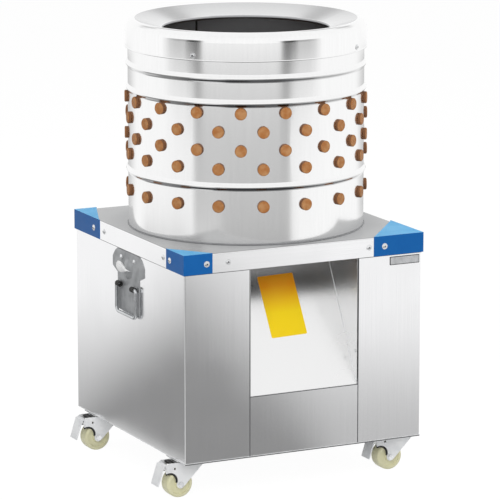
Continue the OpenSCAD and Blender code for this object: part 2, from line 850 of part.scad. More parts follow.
// Stamped handle plate with two rolled eyes for the wire
module handle_plate(side) {
    top_y = 55;
    shoulder_y = 67;
    shoulder_drop = 7;
    ear_y = 79;
    ear_h = 20;
    tongue_y = bail_w / 2 + 2;
    top = deck_z - apron_h - 2;
    ear = pivot_z + 32;
    low = pivot_z - bail_drop + wire_r;
    rivet_y = 32.5;
    rivet_drop = 15;
    boss_r = 22;
    boss_h = 5;
    boss_ball = (boss_r * boss_r + boss_h * boss_h) / (2 * boss_h);
    color("darkgrey") on_side(side) {
        translate([panel_x, 0, 0]) rotate([90, 0, 90]) linear_extrude(handle_t) polygon([
            [-top_y, top], [-shoulder_y, top - shoulder_drop], [-ear_y, ear + ear_h], [-ear_y, ear],
            [-tongue_y, ear - ear_h / 2], [-tongue_y, low],
            [tongue_y, low], [tongue_y, ear - ear_h / 2],
            [ear_y, ear], [ear_y, ear + ear_h], [shoulder_y, top - shoulder_drop], [top_y, top]
        ]);
        translate([panel_x + handle_t, 0, ear + boss_h]) difference() {
            translate([boss_h - boss_ball, 0, 0]) sphere(r = boss_ball);
            translate([-2 * boss_ball, -boss_ball, -boss_ball]) cube(2 * boss_ball);
        }
        for (end = [-1, 1]) translate([panel_x + handle_t, end * rivet_y, top - rivet_drop])
            rotate([0, 90, 0]) screw_head();
        for (end = [-1, 1]) at_corner(1, end) difference() {
            union() {
                translate([bail_x, eye_y, pivot_z]) rotate([-90, 0, 0]) cylinder(r = eye_r, h = eye_w);
                translate([panel_x, eye_y, pivot_z - eye_r]) cube([bail_x - panel_x, eye_w, 2 * eye_r]);
            }
            translate([bail_x, eye_y - cut, pivot_z]) rotate([-90, 0, 0])
                cylinder(r = wire_r + run_gap, h = eye_w + 2 * cut);
        }
    }
}

// One half of the handle wire, in its own plane with the pivot line along X
module half_bail() {
    pin_bend = wire_r + 1;
    low_bend = 10;
    pin_end = eye_y - 1;
    translate([pin_end, 0, 0]) rotate([0, 90, 0]) cylinder(r = wire_r, h = leg_y - pin_bend - pin_end);
    translate([leg_y - pin_bend, -pin_bend, 0])
        rotate_extrude(angle = 90) translate([pin_bend, 0]) circle(r = wire_r);
    translate([leg_y, -bail_drop + low_bend, 0]) rotate([-90, 0, 0])
        cylinder(r = wire_r, h = bail_drop - low_bend - pin_bend);
    translate([leg_y - low_bend, -bail_drop + low_bend, 0]) rotate(-90)
        rotate_extrude(angle = 90) translate([low_bend, 0]) circle(r = wire_r);
    translate([0, -bail_drop, 0]) rotate([0, 90, 0]) cylinder(r = wire_r, h = leg_y - low_bend);
}

// Wire handle that hangs from the eyes
module handle_bail(side) {
    color("gainsboro") on_side(side) translate([bail_x, 0, pivot_z]) rotate([90, 0, 90])
        for (half = [0, 1]) mirror([half, 0, 0]) half_bail();
}

// Castors, drawn round their swivel axis with the wheel trailing towards -X

// Moves the children to one swivel axis
module at_castor(side, end) {
    translate([side * castor_x, end * castor_y, 0]) children();
}

// Fixed top plate with the upper ball race and the king pin
module castor_plate(side, end) {
    plate_low = castor_h - castor_plate_t;
    pin_head_h = 3;
    pin_head_gap = 0.5;
    pin_head_r = king_r + 2;
    crown_low = crown_z - crown_t;
    color("gainsboro") at_castor(side, end) {
        difference() {
            translate([0, 0, plate_low]) block(castor_plate_w, castor_plate_w, castor_plate_t);
            for (x = [-1, 1], y = [-1, 1]) translate([x, y, 0] * (castor_plate_w / 2 - castor_hole_in))
                translate([0, 0, plate_low - cut]) cylinder(d = castor_hole_d, h = castor_plate_t + 2 * cut);
        }
        translate([0, 0, crown_z + loose_gap]) cylinder(r = race_r, h = plate_low - crown_z - loose_gap);
        translate([0, 0, crown_low - cut]) cylinder(r = king_r, h = crown_t + 2 * cut);
        translate([0, 0, crown_low - pin_head_gap - pin_head_h]) cylinder(r = pin_head_r, h = pin_head_h);
    }
}

// Side outline of the fork: broad at the crown, cut away behind and tapering to the axle
module fork_outline() {
    boss_r = 8.5;
    sight_hole_r = 2.5;
    scoop_r = 19;
    scoop = [-trail - 25, wheel_r + 8];
    sight_hole = [-trail - 13, crown_z - 12];
    front = [[40, crown_z], [34, crown_z - 8]];
    foot = [[-trail + boss_r - 1, wheel_r - 5], [-trail - boss_r, wheel_r]];
    back = [[-50, crown_z - 20], [-50, crown_z - 4], [-44, crown_z]];
    difference() {
        polygon(concat(front, foot, back));
        translate(scoop) circle(r = scoop_r);
        translate(sight_hole) circle(r = sight_hole_r);
    }
    translate([-trail, wheel_r]) circle(r = boss_r);
}

// Pressed fork with its crown, axle holes and the pin of the brake pedal
module fork(side, end) {
    outer = fork_gap / 2 + fork_t;
    crown_back = 26;
    crown_len = 60;
    color("whitesmoke") at_castor(side, end) {
        difference() {
            union() {
                for (face = [-1, 1]) translate([0, face * (fork_gap + fork_t) / 2 + fork_t / 2, 0])
                    facing_front() linear_extrude(fork_t) fork_outline();
                translate([-crown_back, -outer, crown_z - crown_t]) cube([crown_len, 2 * outer, crown_t]);
            }
            translate([0, 0, crown_z - 2 * crown_t]) cylinder(r = king_r + run_gap, h = 3 * crown_t);
            translate([-trail, outer + cut, wheel_r]) facing_front()
                cylinder(r = axle_r + run_gap, h = 2 * outer + 2 * cut);
        }
        translate([pedal_x, outer - cut, pedal_z]) facing_front()
            cylinder(r = pedal_pin_r, h = 2 * outer - 2 * cut);
    }
}

// Axle bolt with a hexagon head and nut
module axle(side, end) {
    outer = fork_gap / 2 + fork_t;
    nut_t = 4;
    nut_r = 6.3;
    thread_end = 2;
    color("silver") at_castor(side, end) translate([-trail, 0, wheel_r]) {
        translate([0, outer + thread_end, 0]) facing_front()
            cylinder(r = axle_r, h = 2 * (outer + thread_end));
        for (face = [-1, 1]) translate([0, face * (outer + fit_gap + nut_t / 2) + nut_t / 2, 0])
            facing_front() cylinder(r = nut_r, h = nut_t, $fn = 6);
    }
}

// Nylon wheel with a hub, recessed sides and rounded tread edges
module wheel(side, end) {
    half = wheel_w / 2;
    edge = 5;
    hub_r = 10;
    dish = 3;
    dish_r = wheel_r - edge - 2;
    lower = concat(
        [[axle_r + run_gap, -half], [hub_r, -half], [hub_r + 1, dish - half],
         [dish_r - 1, dish - half], [dish_r, -half]],
        [for (i = [0 : 4]) [wheel_r - edge + edge * sin(22.5 * i), edge - half - edge * cos(22.5 * i)]]
    );
    upper = [for (point = reversed(lower)) [point.x, -point.y]];
    color("beige") at_castor(side, end) translate([-trail, 0, wheel_r]) rotate([90, 0, 0])
        rotate_extrude() polygon(concat(lower, upper));
}

// Brake pedal: a barrel on its pin, a shoe towards the wheel and a broad foot tab
module pedal(side, end) {
    barrel_r = pedal_pin_r + 2.5;
    barrel_w = fork_gap - 2 * loose_gap;
    tip_gap = 20;
    bend = [pedal_x - 9, pedal_z + barrel_r];
    tip = [-trail - wheel_r - tip_gap, wheel_r - 1];
    to_axle = [pedal_x + trail, pedal_z - wheel_r];
    shoe_reach = norm(to_axle) - wheel_r - 2 * loose_gap;
    shoe_turn = atan2(-to_axle.y, -to_axle.x);
    color("whitesmoke") at_castor(side, end) difference() {
        union() {
            translate([pedal_x, shoe_w / 2, pedal_z]) facing_front() rotate(shoe_turn)
                translate([0, -shoe_t / 2, 0]) cube([shoe_reach, shoe_t, shoe_w]);
            translate([pedal_x, barrel_w / 2, pedal_z]) facing_front() cylinder(r = barrel_r, h = barrel_w);
            translate([0, barrel_w / 2, 0]) facing_front() linear_extrude(barrel_w) polygon([
                [pedal_x, pedal_z + barrel_r], [pedal_x, pedal_z + barrel_r - pedal_t],
                bend + [1, -pedal_t], bend + [0, 0.5]
            ]);
            translate([0, pedal_w / 2, 0]) facing_front() linear_extrude(pedal_w) polygon([
                bend + [1.5, 0], bend + [0, 1], bend + [-1.5, 0.4],
                tip + [-2, 0.6], tip, bend + [0.6, -pedal_t]
            ]);
        }
        translate([pedal_x, barrel_w / 2 + cut, pedal_z]) facing_front()
            cylinder(r = pedal_pin_r + run_gap, h = barrel_w + 2 * cut);
    }
}

top_plate();
base_frame();
side_panel(-1);  // left_panel
side_panel(1);  // right_panel
front_panel();
back_panel();
chute();
drum_shell();
drum_rim();
wall_fingers();
feather_plate();
plate_fingers();
sweeper_paddles();
plate_hub();
plate_nut();
drive_shaft();
upper_bearing();
lower_bearing();
bearing_bridge();
driven_pulley();
drive_belt();
motor_plate();
motor_body();
motor_fan_cover();
motor_terminal_box();
motor_shaft();
motor_pulley();
switch_box();
start_button();
stop_button();
cable_gland();
handle_plate(-1);  // left_handle_plate
handle_bail(-1);  // left_handle_bail
handle_plate(1);  // right_handle_plate
handle_bail(1);  // right_handle_bail
corner_guard(-1, -1);  // front_left_guard
corner_guard(1, -1);  // front_right_guard
corner_guard(-1, 1);  // back_left_guard
corner_guard(1, 1);  // back_right_guard
panel_screws();
castor_plate(-1, -1);  // front_left_castor_plate
fork(-1, -1);  // front_left_fork
axle(-1, -1);  // front_left_axle
wheel(-1, -1);  // front_left_wheel
pedal(-1, -1);  // front_left_pedal
castor_plate(1, -1);  // front_right_castor_plate
fork(1, -1);  // front_right_fork
axle(1, -1);  // front_right_axle
wheel(1, -1);  // front_right_wheel
pedal(1, -1);  // front_right_pedal
castor_plate(-1, 1);  // back_left_castor_plate
fork(-1, 1);  // back_left_fork
axle(-1, 1);  // back_left_axle
wheel(-1, 1);  // back_left_wheel
pedal(-1, 1);  // back_left_pedal
castor_plate(1, 1);  // back_right_castor_plate
fork(1, 1);  // back_right_fork
axle(1, 1);  // back_right_axle
wheel(1, 1);  // back_right_wheel
pedal(1, 1);  // back_right_pedal
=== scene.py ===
"""Looks of a stainless poultry plucker: its finishes, small fittings, studio light and camera."""

import logging
import math
from dataclasses import dataclass
from enum import Enum
from typing import Any, ClassVar, Iterable, Sequence

import bmesh
import bpy
from bmesh.types import BMesh
from bpy.types import Material, Node, NodeSocket, NodeTree
from mathutils import Matrix, Vector


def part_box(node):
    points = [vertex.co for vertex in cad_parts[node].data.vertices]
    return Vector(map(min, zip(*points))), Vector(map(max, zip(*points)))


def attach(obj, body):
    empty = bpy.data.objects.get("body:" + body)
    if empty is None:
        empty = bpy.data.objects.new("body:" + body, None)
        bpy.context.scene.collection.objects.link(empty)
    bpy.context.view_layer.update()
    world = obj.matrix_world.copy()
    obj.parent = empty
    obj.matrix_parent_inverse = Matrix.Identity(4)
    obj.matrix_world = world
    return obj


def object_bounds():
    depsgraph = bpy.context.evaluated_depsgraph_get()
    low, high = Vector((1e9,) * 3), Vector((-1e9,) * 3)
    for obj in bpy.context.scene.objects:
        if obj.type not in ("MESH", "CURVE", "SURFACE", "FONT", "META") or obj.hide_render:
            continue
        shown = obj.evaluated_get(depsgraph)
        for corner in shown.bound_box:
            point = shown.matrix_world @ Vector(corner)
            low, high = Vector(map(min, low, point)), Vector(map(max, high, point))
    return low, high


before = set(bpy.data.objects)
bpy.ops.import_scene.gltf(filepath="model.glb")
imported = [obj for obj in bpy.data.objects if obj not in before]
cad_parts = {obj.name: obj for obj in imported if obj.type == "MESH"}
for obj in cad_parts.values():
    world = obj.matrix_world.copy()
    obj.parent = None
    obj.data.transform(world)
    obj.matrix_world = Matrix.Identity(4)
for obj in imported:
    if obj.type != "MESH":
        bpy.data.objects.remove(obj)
CAD_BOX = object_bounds()
MM = 0.001
LOG = logging.getLogger("plucker")
# Socket numbers of a mix node that blends colours
MIX_FIRST, MIX_SECOND, MIX_COLOUR = 6, 7, 2
# Where the middle part of a noise pattern lies
NOISE_LOW, NOISE_HIGH = 0.3, 0.7
# Numbers of the axes that a face looks along
AXIS_Y, AXIS_Z = 1, 2
# Factors that keep the level parts of a vector and drop its height
LEVEL = (1.0, 1.0, 0.0)
# Short names for two, three and four numbers
Pair = tuple[float, float]
Triple = tuple[float, float, float]
Four = tuple[float, float, float, float]


class Grain(Enum):
    """Way that the brush lines of a sheet run, as the axis they follow."""

    ALONG_X = 0
    ALONG_Y = 1
    UPRIGHT = 2


class Head(Enum):
    """Kinds of head that a fastener has."""

    SOCKET = "domed head with a hexagon socket"
    HEXAGON = "hexagon head on a washer"
    RIVET = "domed rivet"


class Side(Enum):
    """Sides of the cabinet that carry a handle, as their nodes' names start."""

    LEFT = "left"
    RIGHT = "right"


class Corner(Enum):
    """Corners of the cabinet, each with a guard and a castor, as their nodes' names start."""

    FRONT_LEFT = "front_left"
    FRONT_RIGHT = "front_right"
    BACK_LEFT = "back_left"
    BACK_RIGHT = "back_right"


def linear(colour: str) -> Four:
    """Turns an sRGB hex colour into linear light.

    Args:
        colour: Colour such as "#c07f45".

    Returns:
        Red, green, blue and an alpha of 1.
    """
    parts = [int(colour[i:i + 2], 16) / 255 for i in (1, 3, 5)]
    light = [c / 12.92 if c <= 0.04045 else ((c + 0.055) / 1.055) ** 2.4 for c in parts]
    return (light[0], light[1], light[2], 1.0)


def add_node(tree: NodeTree, kind: str, inputs: dict[Any, Any] | None = None,
             **settings: Any) -> Node:
    """Adds one node with its settings, values and links.

    Args:
        tree: Node tree that receives the node.
        kind: Blender's type name of the node, without its common start.
        inputs: Socket name or number, to a value, an output socket or a node whose first output feeds it.
        settings: Properties of the node.

    Returns:
        The new node.
    """
    node = tree.nodes.new("ShaderNode" + kind)
    for key, value in settings.items():
        setattr(node, key, value)
    for key, value in (inputs or {}).items():
        if isinstance(value, Node):
            value = value.outputs[0]
        if isinstance(value, NodeSocket):
            tree.links.new(value, node.inputs[key])
        else:
            node.inputs[key].default_value = value
    return node


def clouds(tree: NodeTree, sizes_mm: Sequence[float], detail: float = 2.0) -> Node:
    """Draws a cloudy pattern at a real size, in the frame's own space.

    Args:
        tree: Node tree that receives the pattern.
        sizes_mm: Size of one cloud along X, Y and Z.
        detail: How many finer layers the pattern has.

    Returns:
        Node whose value lies mostly between NOISE_LOW and NOISE_HIGH.
    """
    place = add_node(tree, "TexCoord")
    spread = add_node(tree, "Mapping", {
        "Vector": place.outputs["Object"], "Scale": [1 / (size * MM) for size in sizes_mm]})
    return add_node(tree, "TexNoise", {"Vector": spread, "Scale": 1.0, "Detail": detail, "Roughness": 0.55})


def worn_edges(tree: NodeTree, width_mm: float) -> Node:
    """Finds the outer edges of a piece, where handling rubs a finish.

    Args:
        tree: Node tree that receives the pattern.
        width_mm: How far the wear reaches from an edge.

    Returns:
        Node whose value is 1 on an edge and 0 on a face.
    """
    flat, sharp = 0.985, 0.86
    soft = add_node(tree, "Bevel", {"Radius": width_mm * MM}, samples=4)
    hard = add_node(tree, "NewGeometry")
    turn = add_node(tree, "VectorMath", {0: soft, 1: hard.outputs["Normal"]}, operation="DOT_PRODUCT")
    return add_node(tree, "MapRange", {0: turn.outputs["Value"], 1: flat, 2: sharp})


def looks_up(tree: NodeTree, none: float = 0.6, full: float = 0.95) -> Node:
    """Finds the faces that look up, or that look down where the limits are negative.

    Args:
        tree: Node tree that receives the pattern.
        none: Upward part of a face's direction where the value is 0.
        full: The same where the value is 1.

    Returns:
        Node whose value is 1 on such a face and 0 elsewhere.
    """
    face = add_node(tree, "SeparateXYZ", {0: add_node(tree, "NewGeometry").outputs["Normal"]})
    return add_node(tree, "MapRange", {0: face.outputs["Z"], 1: none, 2: full})


def faces_axis(tree: NodeTree, none: float = -0.04, full: float = -0.12) -> Node:
    """Finds the faces that look towards the upright axis of the drum, or don't look away from it.

    Args:
        tree: Node tree that receives the pattern.
        none: Distance from the axis in metres, times how far a face looks outwards, where the value is 0.
        full: The same where the value is 1.

    Returns:
        Node whose value is 1 on such a face and 0 elsewhere.
    """
    place = add_node(tree, "TexCoord")
    level = add_node(tree, "VectorMath", {0: place.outputs["Object"], 1: LEVEL}, operation="MULTIPLY")
    outward = add_node(tree, "VectorMath", {
        0: level, 1: add_node(tree, "NewGeometry").outputs["Normal"]}, operation="DOT_PRODUCT")
    return add_node(tree, "MapRange", {0: outward.outputs["Value"], 1: none, 2: full})


# A pattern with the share of a colour, and that colour as sRGB hex or as a socket
Layer = tuple[Node, str | NodeSocket]


@dataclass(frozen=True)
class Finish:
    """A surface as it was made, drawn as one node material.

    Attributes:
        ROUGH_SPREAD: How far the roughness goes below and above its middle.
        name: Common name of the material and its surface.
        colour: Main colour as sRGB hex.
        roughness: Middle roughness.
    """

    ROUGH_SPREAD: ClassVar[Pair] = (-0.05, 0.08)

    name: str
    colour: str
    roughness: float

    def make(self) -> Material:
        """Builds the material, unless it was built before.

        Returns:
            The material.
        """
        found = bpy.data.materials.get(self.name)
        if found is not None:
            return found
        material = bpy.data.materials.new(self.name)
        material.use_nodes = True
        tree = material.node_tree
        tree.nodes.clear()
        shader = add_node(tree, "BsdfPrincipled", {
            "Base Color": linear(self.colour), "Roughness": self.roughness})
        add_node(tree, "OutputMaterial", {"Surface": shader})
        self.draw(tree, shader)
        return material

    def draw(self, tree: NodeTree, shader: Node) -> None:
        """Adds the pattern of this kind of surface to a material's tree and its principled shader."""
        raise NotImplementedError

    def vary(self, tree: NodeTree, pattern: Node) -> Node:
        """Makes the roughness follow a cloudy pattern.

        Args:
            tree: Node tree of the material.
            pattern: The pattern.

        Returns:
            Node with the roughness.
        """
        less, more = self.ROUGH_SPREAD
        return add_node(tree, "MapRange", {
            0: pattern, 1: NOISE_LOW, 2: NOISE_HIGH, 3: self.roughness + less, 4: self.roughness + more})

    def lay(self, tree: NodeTree, ground: str, layers: Sequence[Layer]) -> NodeSocket:
        """Lays colours over each other.

        Args:
            tree: Node tree of the material.
            ground: Colour under the layers.
            layers: The layers, from the lowest up.

        Returns:
            Socket with the colour that shows.
        """
        tint: Any = linear(ground)
        for share, colour in layers:
            cover = linear(colour) if isinstance(colour, str) else colour
            mixed = add_node(tree, "Mix", {0: share, MIX_FIRST: tint, MIX_SECOND: cover}, data_type="RGBA")
            tint = mixed.outputs[MIX_COLOUR]
        return tint

    def feed(self, tree: NodeTree, shader: Node, layers: Sequence[Layer],
             rough: Node, height: Node, depth_mm: float) -> None:
        """Links the colours, a roughness and a relief to the shader.

        Args:
            tree: Node tree of the material.
            shader: Its principled shader.
            layers: Layers over the main colour, from the lowest up.
            rough: Pattern that makes the roughness vary.
            height: Pattern of the relief.
            depth_mm: Depth of the relief.
        """
        relief = add_node(tree, "Bump", {"Height": height, "Distance": depth_mm * MM})
        tree.links.new(self.lay(tree, self.colour, layers), shader.inputs["Base Color"])
        tree.links.new(rough.outputs[0], shader.inputs["Roughness"])
        tree.links.new(relief.outputs[0], shader.inputs["Normal"])


@dataclass(frozen=True)
class BrushedSheet(Finish):
    """Cold-rolled stainless sheet, belt-brushed one way, that stretches each reflection a little.

    Attributes:
        SMUDGE_MM: Size of the smudges that hands and cloths leave.
        LINE_COLOUR: The darker colour in a brush line.
        LINE_DEPTH_MM: Depth of a brush line.
        painted_top_shading: Colour of the faces that look up, a painted shade that greys them.
        grain: Way that the brush lines run.
        line_mm: Width of a brush line, coarser than a real one so that it shows.
        streak_mm: Length of a brush line.
        contrast: Share of the darker colour in a brush line.
        inside: Colour of the painted shade on the faces that look inwards, where it isn't the main colour.
        painted_foot_shadow: Colour of the painted shadow beside the drum's foot, on the faces that look up,
            where it isn't the main colour.
        painted_foot_shadow_mm: Distances from the drum's axis where that painted shadow is darkest and where
            it ends.
    """

    ROUGH_SPREAD: ClassVar[Pair] = (-0.02, 0.03)
    SMUDGE_MM: ClassVar[float] = 110.0
    LINE_COLOUR: ClassVar[str] = "#a3a6a8"
    LINE_DEPTH_MM: ClassVar[float] = 0.004

    painted_top_shading: str = "#d9dadb"
    grain: Grain = Grain.UPRIGHT
    line_mm: float = 1.8
    streak_mm: float = 240.0
    contrast: float = 0.07
    inside: str = ""
    painted_foot_shadow: str = ""
    painted_foot_shadow_mm: Pair = (252.0, 300.0)

    def draw(self, tree: NodeTree, shader: Node) -> None:
        """Draws the brush lines, faint smudges, and painted shade on the faces that look up, beside the
        drum's foot and on the faces that look inwards.

        Args:
            tree: Node tree of the material.
            shader: Its principled shader.
        """
        sizes = [self.line_mm] * 3
        sizes[self.grain.value] = self.streak_mm
        lines = clouds(tree, sizes, detail=3.0)
        smudges = clouds(tree, [self.SMUDGE_MM] * 3, detail=1.0)
        shader.inputs["Metallic"].default_value = 1.0
        # Painted shade: the faces that look up are greyed
        shaded_top: str | NodeSocket = self.painted_top_shading
        # Painted shadow beside the drum's foot, laid over the painted shade of the faces that look up
        if self.painted_foot_shadow:
            level = add_node(tree, "VectorMath", {
                0: add_node(tree, "TexCoord").outputs["Object"], 1: LEVEL}, operation="MULTIPLY")
            away = add_node(tree, "VectorMath", {0: level}, operation="LENGTH")
            thick, none = (value * MM for value in self.painted_foot_shadow_mm)
            beside = add_node(tree, "MapRange", {0: away.outputs["Value"], 1: none, 2: thick})
            shaded_top = self.lay(tree, self.painted_top_shading, [(beside, self.painted_foot_shadow)])
        shade = add_node(tree, "MapRange", {0: lines, 1: NOISE_LOW, 2: NOISE_HIGH, 4: self.contrast})
        # Painted shade on the faces that look towards the drum's axis, over the greyed faces that look up
        layers = [(looks_up(tree), shaded_top), (faces_axis(tree), self.inside or self.colour),
                  (shade, self.LINE_COLOUR)]
        self.feed(tree, shader, layers, self.vary(tree, smudges), lines, self.LINE_DEPTH_MM)


@dataclass(frozen=True)
class PolishedSheet(Finish):
    """Buffed stainless sheet rolled to a drum: a mirror with slow waves, left dull on the inside, with
    painted shade on the inner face and under beads and edges.

    Attributes:
        SMEAR_MM: Size of the smears that the buffing wheel leaves.
        SMEAR_COLOUR: Colour of the smears.
        SMEAR_SHARE: Share of that colour in a smear.
        WAVE_DEPTH_MM: Depth of the waves.
        DULLER: How much rougher the unbuffed inner face is.
        TURNED: Upward parts of a face's direction where the painted shade under beads and edges starts and
            where it is full.
        SHADE_PATCHES: How many patches of darker painted shade go round the drum.
        SHADE_PATCH_EDGE: Values of the wave round the drum where a patch starts and where it is full.
        UNDER_SHADE_SHARES: Shares of the painted shade outside and inside a patch.
        inside: Colour of the unbuffed inner face, darkened as painted shade.
        under: Colour of the painted shade where the sheet turns down, under beads and edges.
        wave_mm: Length of the waves that rolling leaves.
        under_shade_side: Direction in degrees of one of the patches where the painted shade is darkest.
    """

    SMEAR_MM: ClassVar[Triple] = (5.0, 5.0, 90.0)
    SMEAR_COLOUR: ClassVar[str] = "#b9bbbd"
    SMEAR_SHARE: ClassVar[float] = 0.06
    WAVE_DEPTH_MM: ClassVar[float] = 0.06
    DULLER: ClassVar[float] = 0.2
    TURNED: ClassVar[Pair] = (-0.2, -0.45)
    SHADE_PATCHES: ClassVar[int] = 3
    SHADE_PATCH_EDGE: ClassVar[Pair] = (-0.4, 0.4)
    UNDER_SHADE_SHARES: ClassVar[Pair] = (0.3, 1.0)

    inside: str = "#aaabad"
    under: str = "#606163"
    wave_mm: float = 80.0
    under_shade_side: float = 243.8

    def draw(self, tree: NodeTree, shader: Node) -> None:
        """Draws the waves, the buffing smears, the painted shade under beads and edges, and the dull inner
        face with its painted shade.

        Args:
            tree: Node tree of the material.
            shader: Its principled shader.
        """
        waves = clouds(tree, (self.wave_mm, self.wave_mm, self.wave_mm * 2), detail=1.0)
        smears = clouds(tree, self.SMEAR_MM, detail=3.0)
        shader.inputs["Metallic"].default_value = 1.0
        inner = faces_axis(tree)
        # Painted shade where the sheet turns down, darker in patches round the drum
        spot = add_node(tree, "SeparateXYZ", {0: add_node(tree, "TexCoord").outputs["Object"]})
        angle = add_node(tree, "Math", {0: spot.outputs["Y"], 1: spot.outputs["X"]}, operation="ARCTAN2")
        turn = add_node(tree, "Math", {
            0: angle, 1: self.SHADE_PATCHES, 2: -self.SHADE_PATCHES * math.radians(self.under_shade_side)},
            operation="MULTIPLY_ADD")
        wave = add_node(tree, "Math", {0: turn}, operation="COSINE")
        start, full = self.SHADE_PATCH_EDGE
        thin, thick = self.UNDER_SHADE_SHARES
        patch = add_node(tree, "MapRange", {0: wave, 1: start, 2: full, 3: thin, 4: thick})
        under_shade = add_node(tree, "Math", {0: looks_up(tree, *self.TURNED), 1: patch}, operation="MULTIPLY")
        shade = add_node(tree, "MapRange", {0: smears, 1: NOISE_LOW, 2: NOISE_HIGH, 4: self.SMEAR_SHARE})
        # Painted shade: the turned-down faces and the inner face are darkened
        layers = [(shade, self.SMEAR_COLOUR), (under_shade, self.under), (inner, self.inside)]
        rough = add_node(tree, "MapRange", {0: inner, 3: self.roughness, 4: self.roughness + self.DULLER})
        self.feed(tree, shader, layers, rough, waves, self.WAVE_DEPTH_MM)


@dataclass(frozen=True)
class PlainMetal(Finish):
    """Plated, turned or cast metal: a grained skin, darker in its stains and bright on worn edges.

    Attributes:
        STAIN_GRAINS: Size of a stain, in grains.
        STAINED: Values of the pattern where a stain starts and where it is full.
        STAIN_SHARE: Share of the stain's colour where it is full.
        EDGE_MM: How far the rubbing reaches from an edge.
        dark: Colour of the stains.
        grain_mm: Size of the grain, drawn coarse enough to show.
        depth_mm: Depth of the grain.
        worn: Colour of the rubbed edges.
        metallic: How much of the light is mirrored and not scattered.
    """

    STAIN_GRAINS: ClassVar[float] = 14.0
    STAINED: ClassVar[Pair] = (0.42, 0.72)
    STAIN_SHARE: ClassVar[float] = 0.5
    EDGE_MM: ClassVar[float] = 0.6

    dark: str = "#6d7073"
    grain_mm: float = 1.5
    depth_mm: float = 0.03
    worn: str = "#d9dadb"
    metallic: float = 1.0

    def draw(self, tree: NodeTree, shader: Node) -> None:
        """Draws the grain, its stains and the rubbed edges.

        Args:
            tree: Node tree of the material.
            shader: Its principled shader.
        """
        grain = clouds(tree, [self.grain_mm] * 3, detail=4.0)
        stains = clouds(tree, [self.grain_mm * self.STAIN_GRAINS] * 3, detail=3.0)
        shader.inputs["Metallic"].default_value = self.metallic
        start, full = self.STAINED
        shade = add_node(tree, "MapRange", {0: stains, 1: start, 2: full, 4: self.STAIN_SHARE})
        layers = [(shade, self.dark), (worn_edges(tree, self.EDGE_MM), self.worn)]
        self.feed(tree, shader, layers, self.vary(tree, stains), grain, self.depth_mm)


@dataclass(frozen=True)
class Rubber(Finish):
    """Moulded rubber: a dull skin with a bloom of paler powder and fine pitting.

    Attributes:
        PATCH_MM: Size of a patch of powder.
        BLOOMED: Values of the pattern where a patch starts and where it is full.
        BLOOM_SHARE: Share of the powder's colour where it is full.
        PIT_DEPTH_MM: Depth of the pits.
        SHINE: Strength of the mirrored light.
        REFRACTION: Refractive index of rubber.
        FLANK: Outward reach in metres where the painted shade on the flanks starts and where it is full.
        bloom: Colour of the powder.
        pit_mm: Size of the pits.
        flank: Colour of the painted shade on the faces that don't look outwards, where it isn't the main
            colour.
    """

    ROUGH_SPREAD: ClassVar[Pair] = (-0.08, 0.1)
    PATCH_MM: ClassVar[float] = 11.0
    BLOOMED: ClassVar[Pair] = (0.38, 0.68)
    BLOOM_SHARE: ClassVar[float] = 0.6
    PIT_DEPTH_MM: ClassVar[float] = 0.08
    SHINE: ClassVar[float] = 0.3
    REFRACTION: ClassVar[float] = 1.52
    FLANK: ClassVar[Pair] = (0.2, 0.12)

    bloom: str = "#c98a52"
    pit_mm: float = 1.2
    flank: str = ""

    def draw(self, tree: NodeTree, shader: Node) -> None:
        """Draws the bloom, the pits and the painted shade on the flanks.

        Args:
            tree: Node tree of the material.
            shader: Its principled shader.
        """
        pits = clouds(tree, [self.pit_mm] * 3, detail=3.0)
        patches = clouds(tree, [self.PATCH_MM] * 3, detail=3.0)
        shader.inputs["Specular IOR Level"].default_value = self.SHINE
        shader.inputs["IOR"].default_value = self.REFRACTION
        start, full = self.BLOOMED
        shade = add_node(tree, "MapRange", {0: patches, 1: start, 2: full, 4: self.BLOOM_SHARE})
        layers = [(shade, self.bloom)]
        # Painted shade: the flanks, which don't look outwards, are darkened
        if self.flank:
            layers.append((faces_axis(tree, *self.FLANK), self.flank))
        self.feed(tree, shader, layers, self.vary(tree, patches), pits, self.PIT_DEPTH_MM)


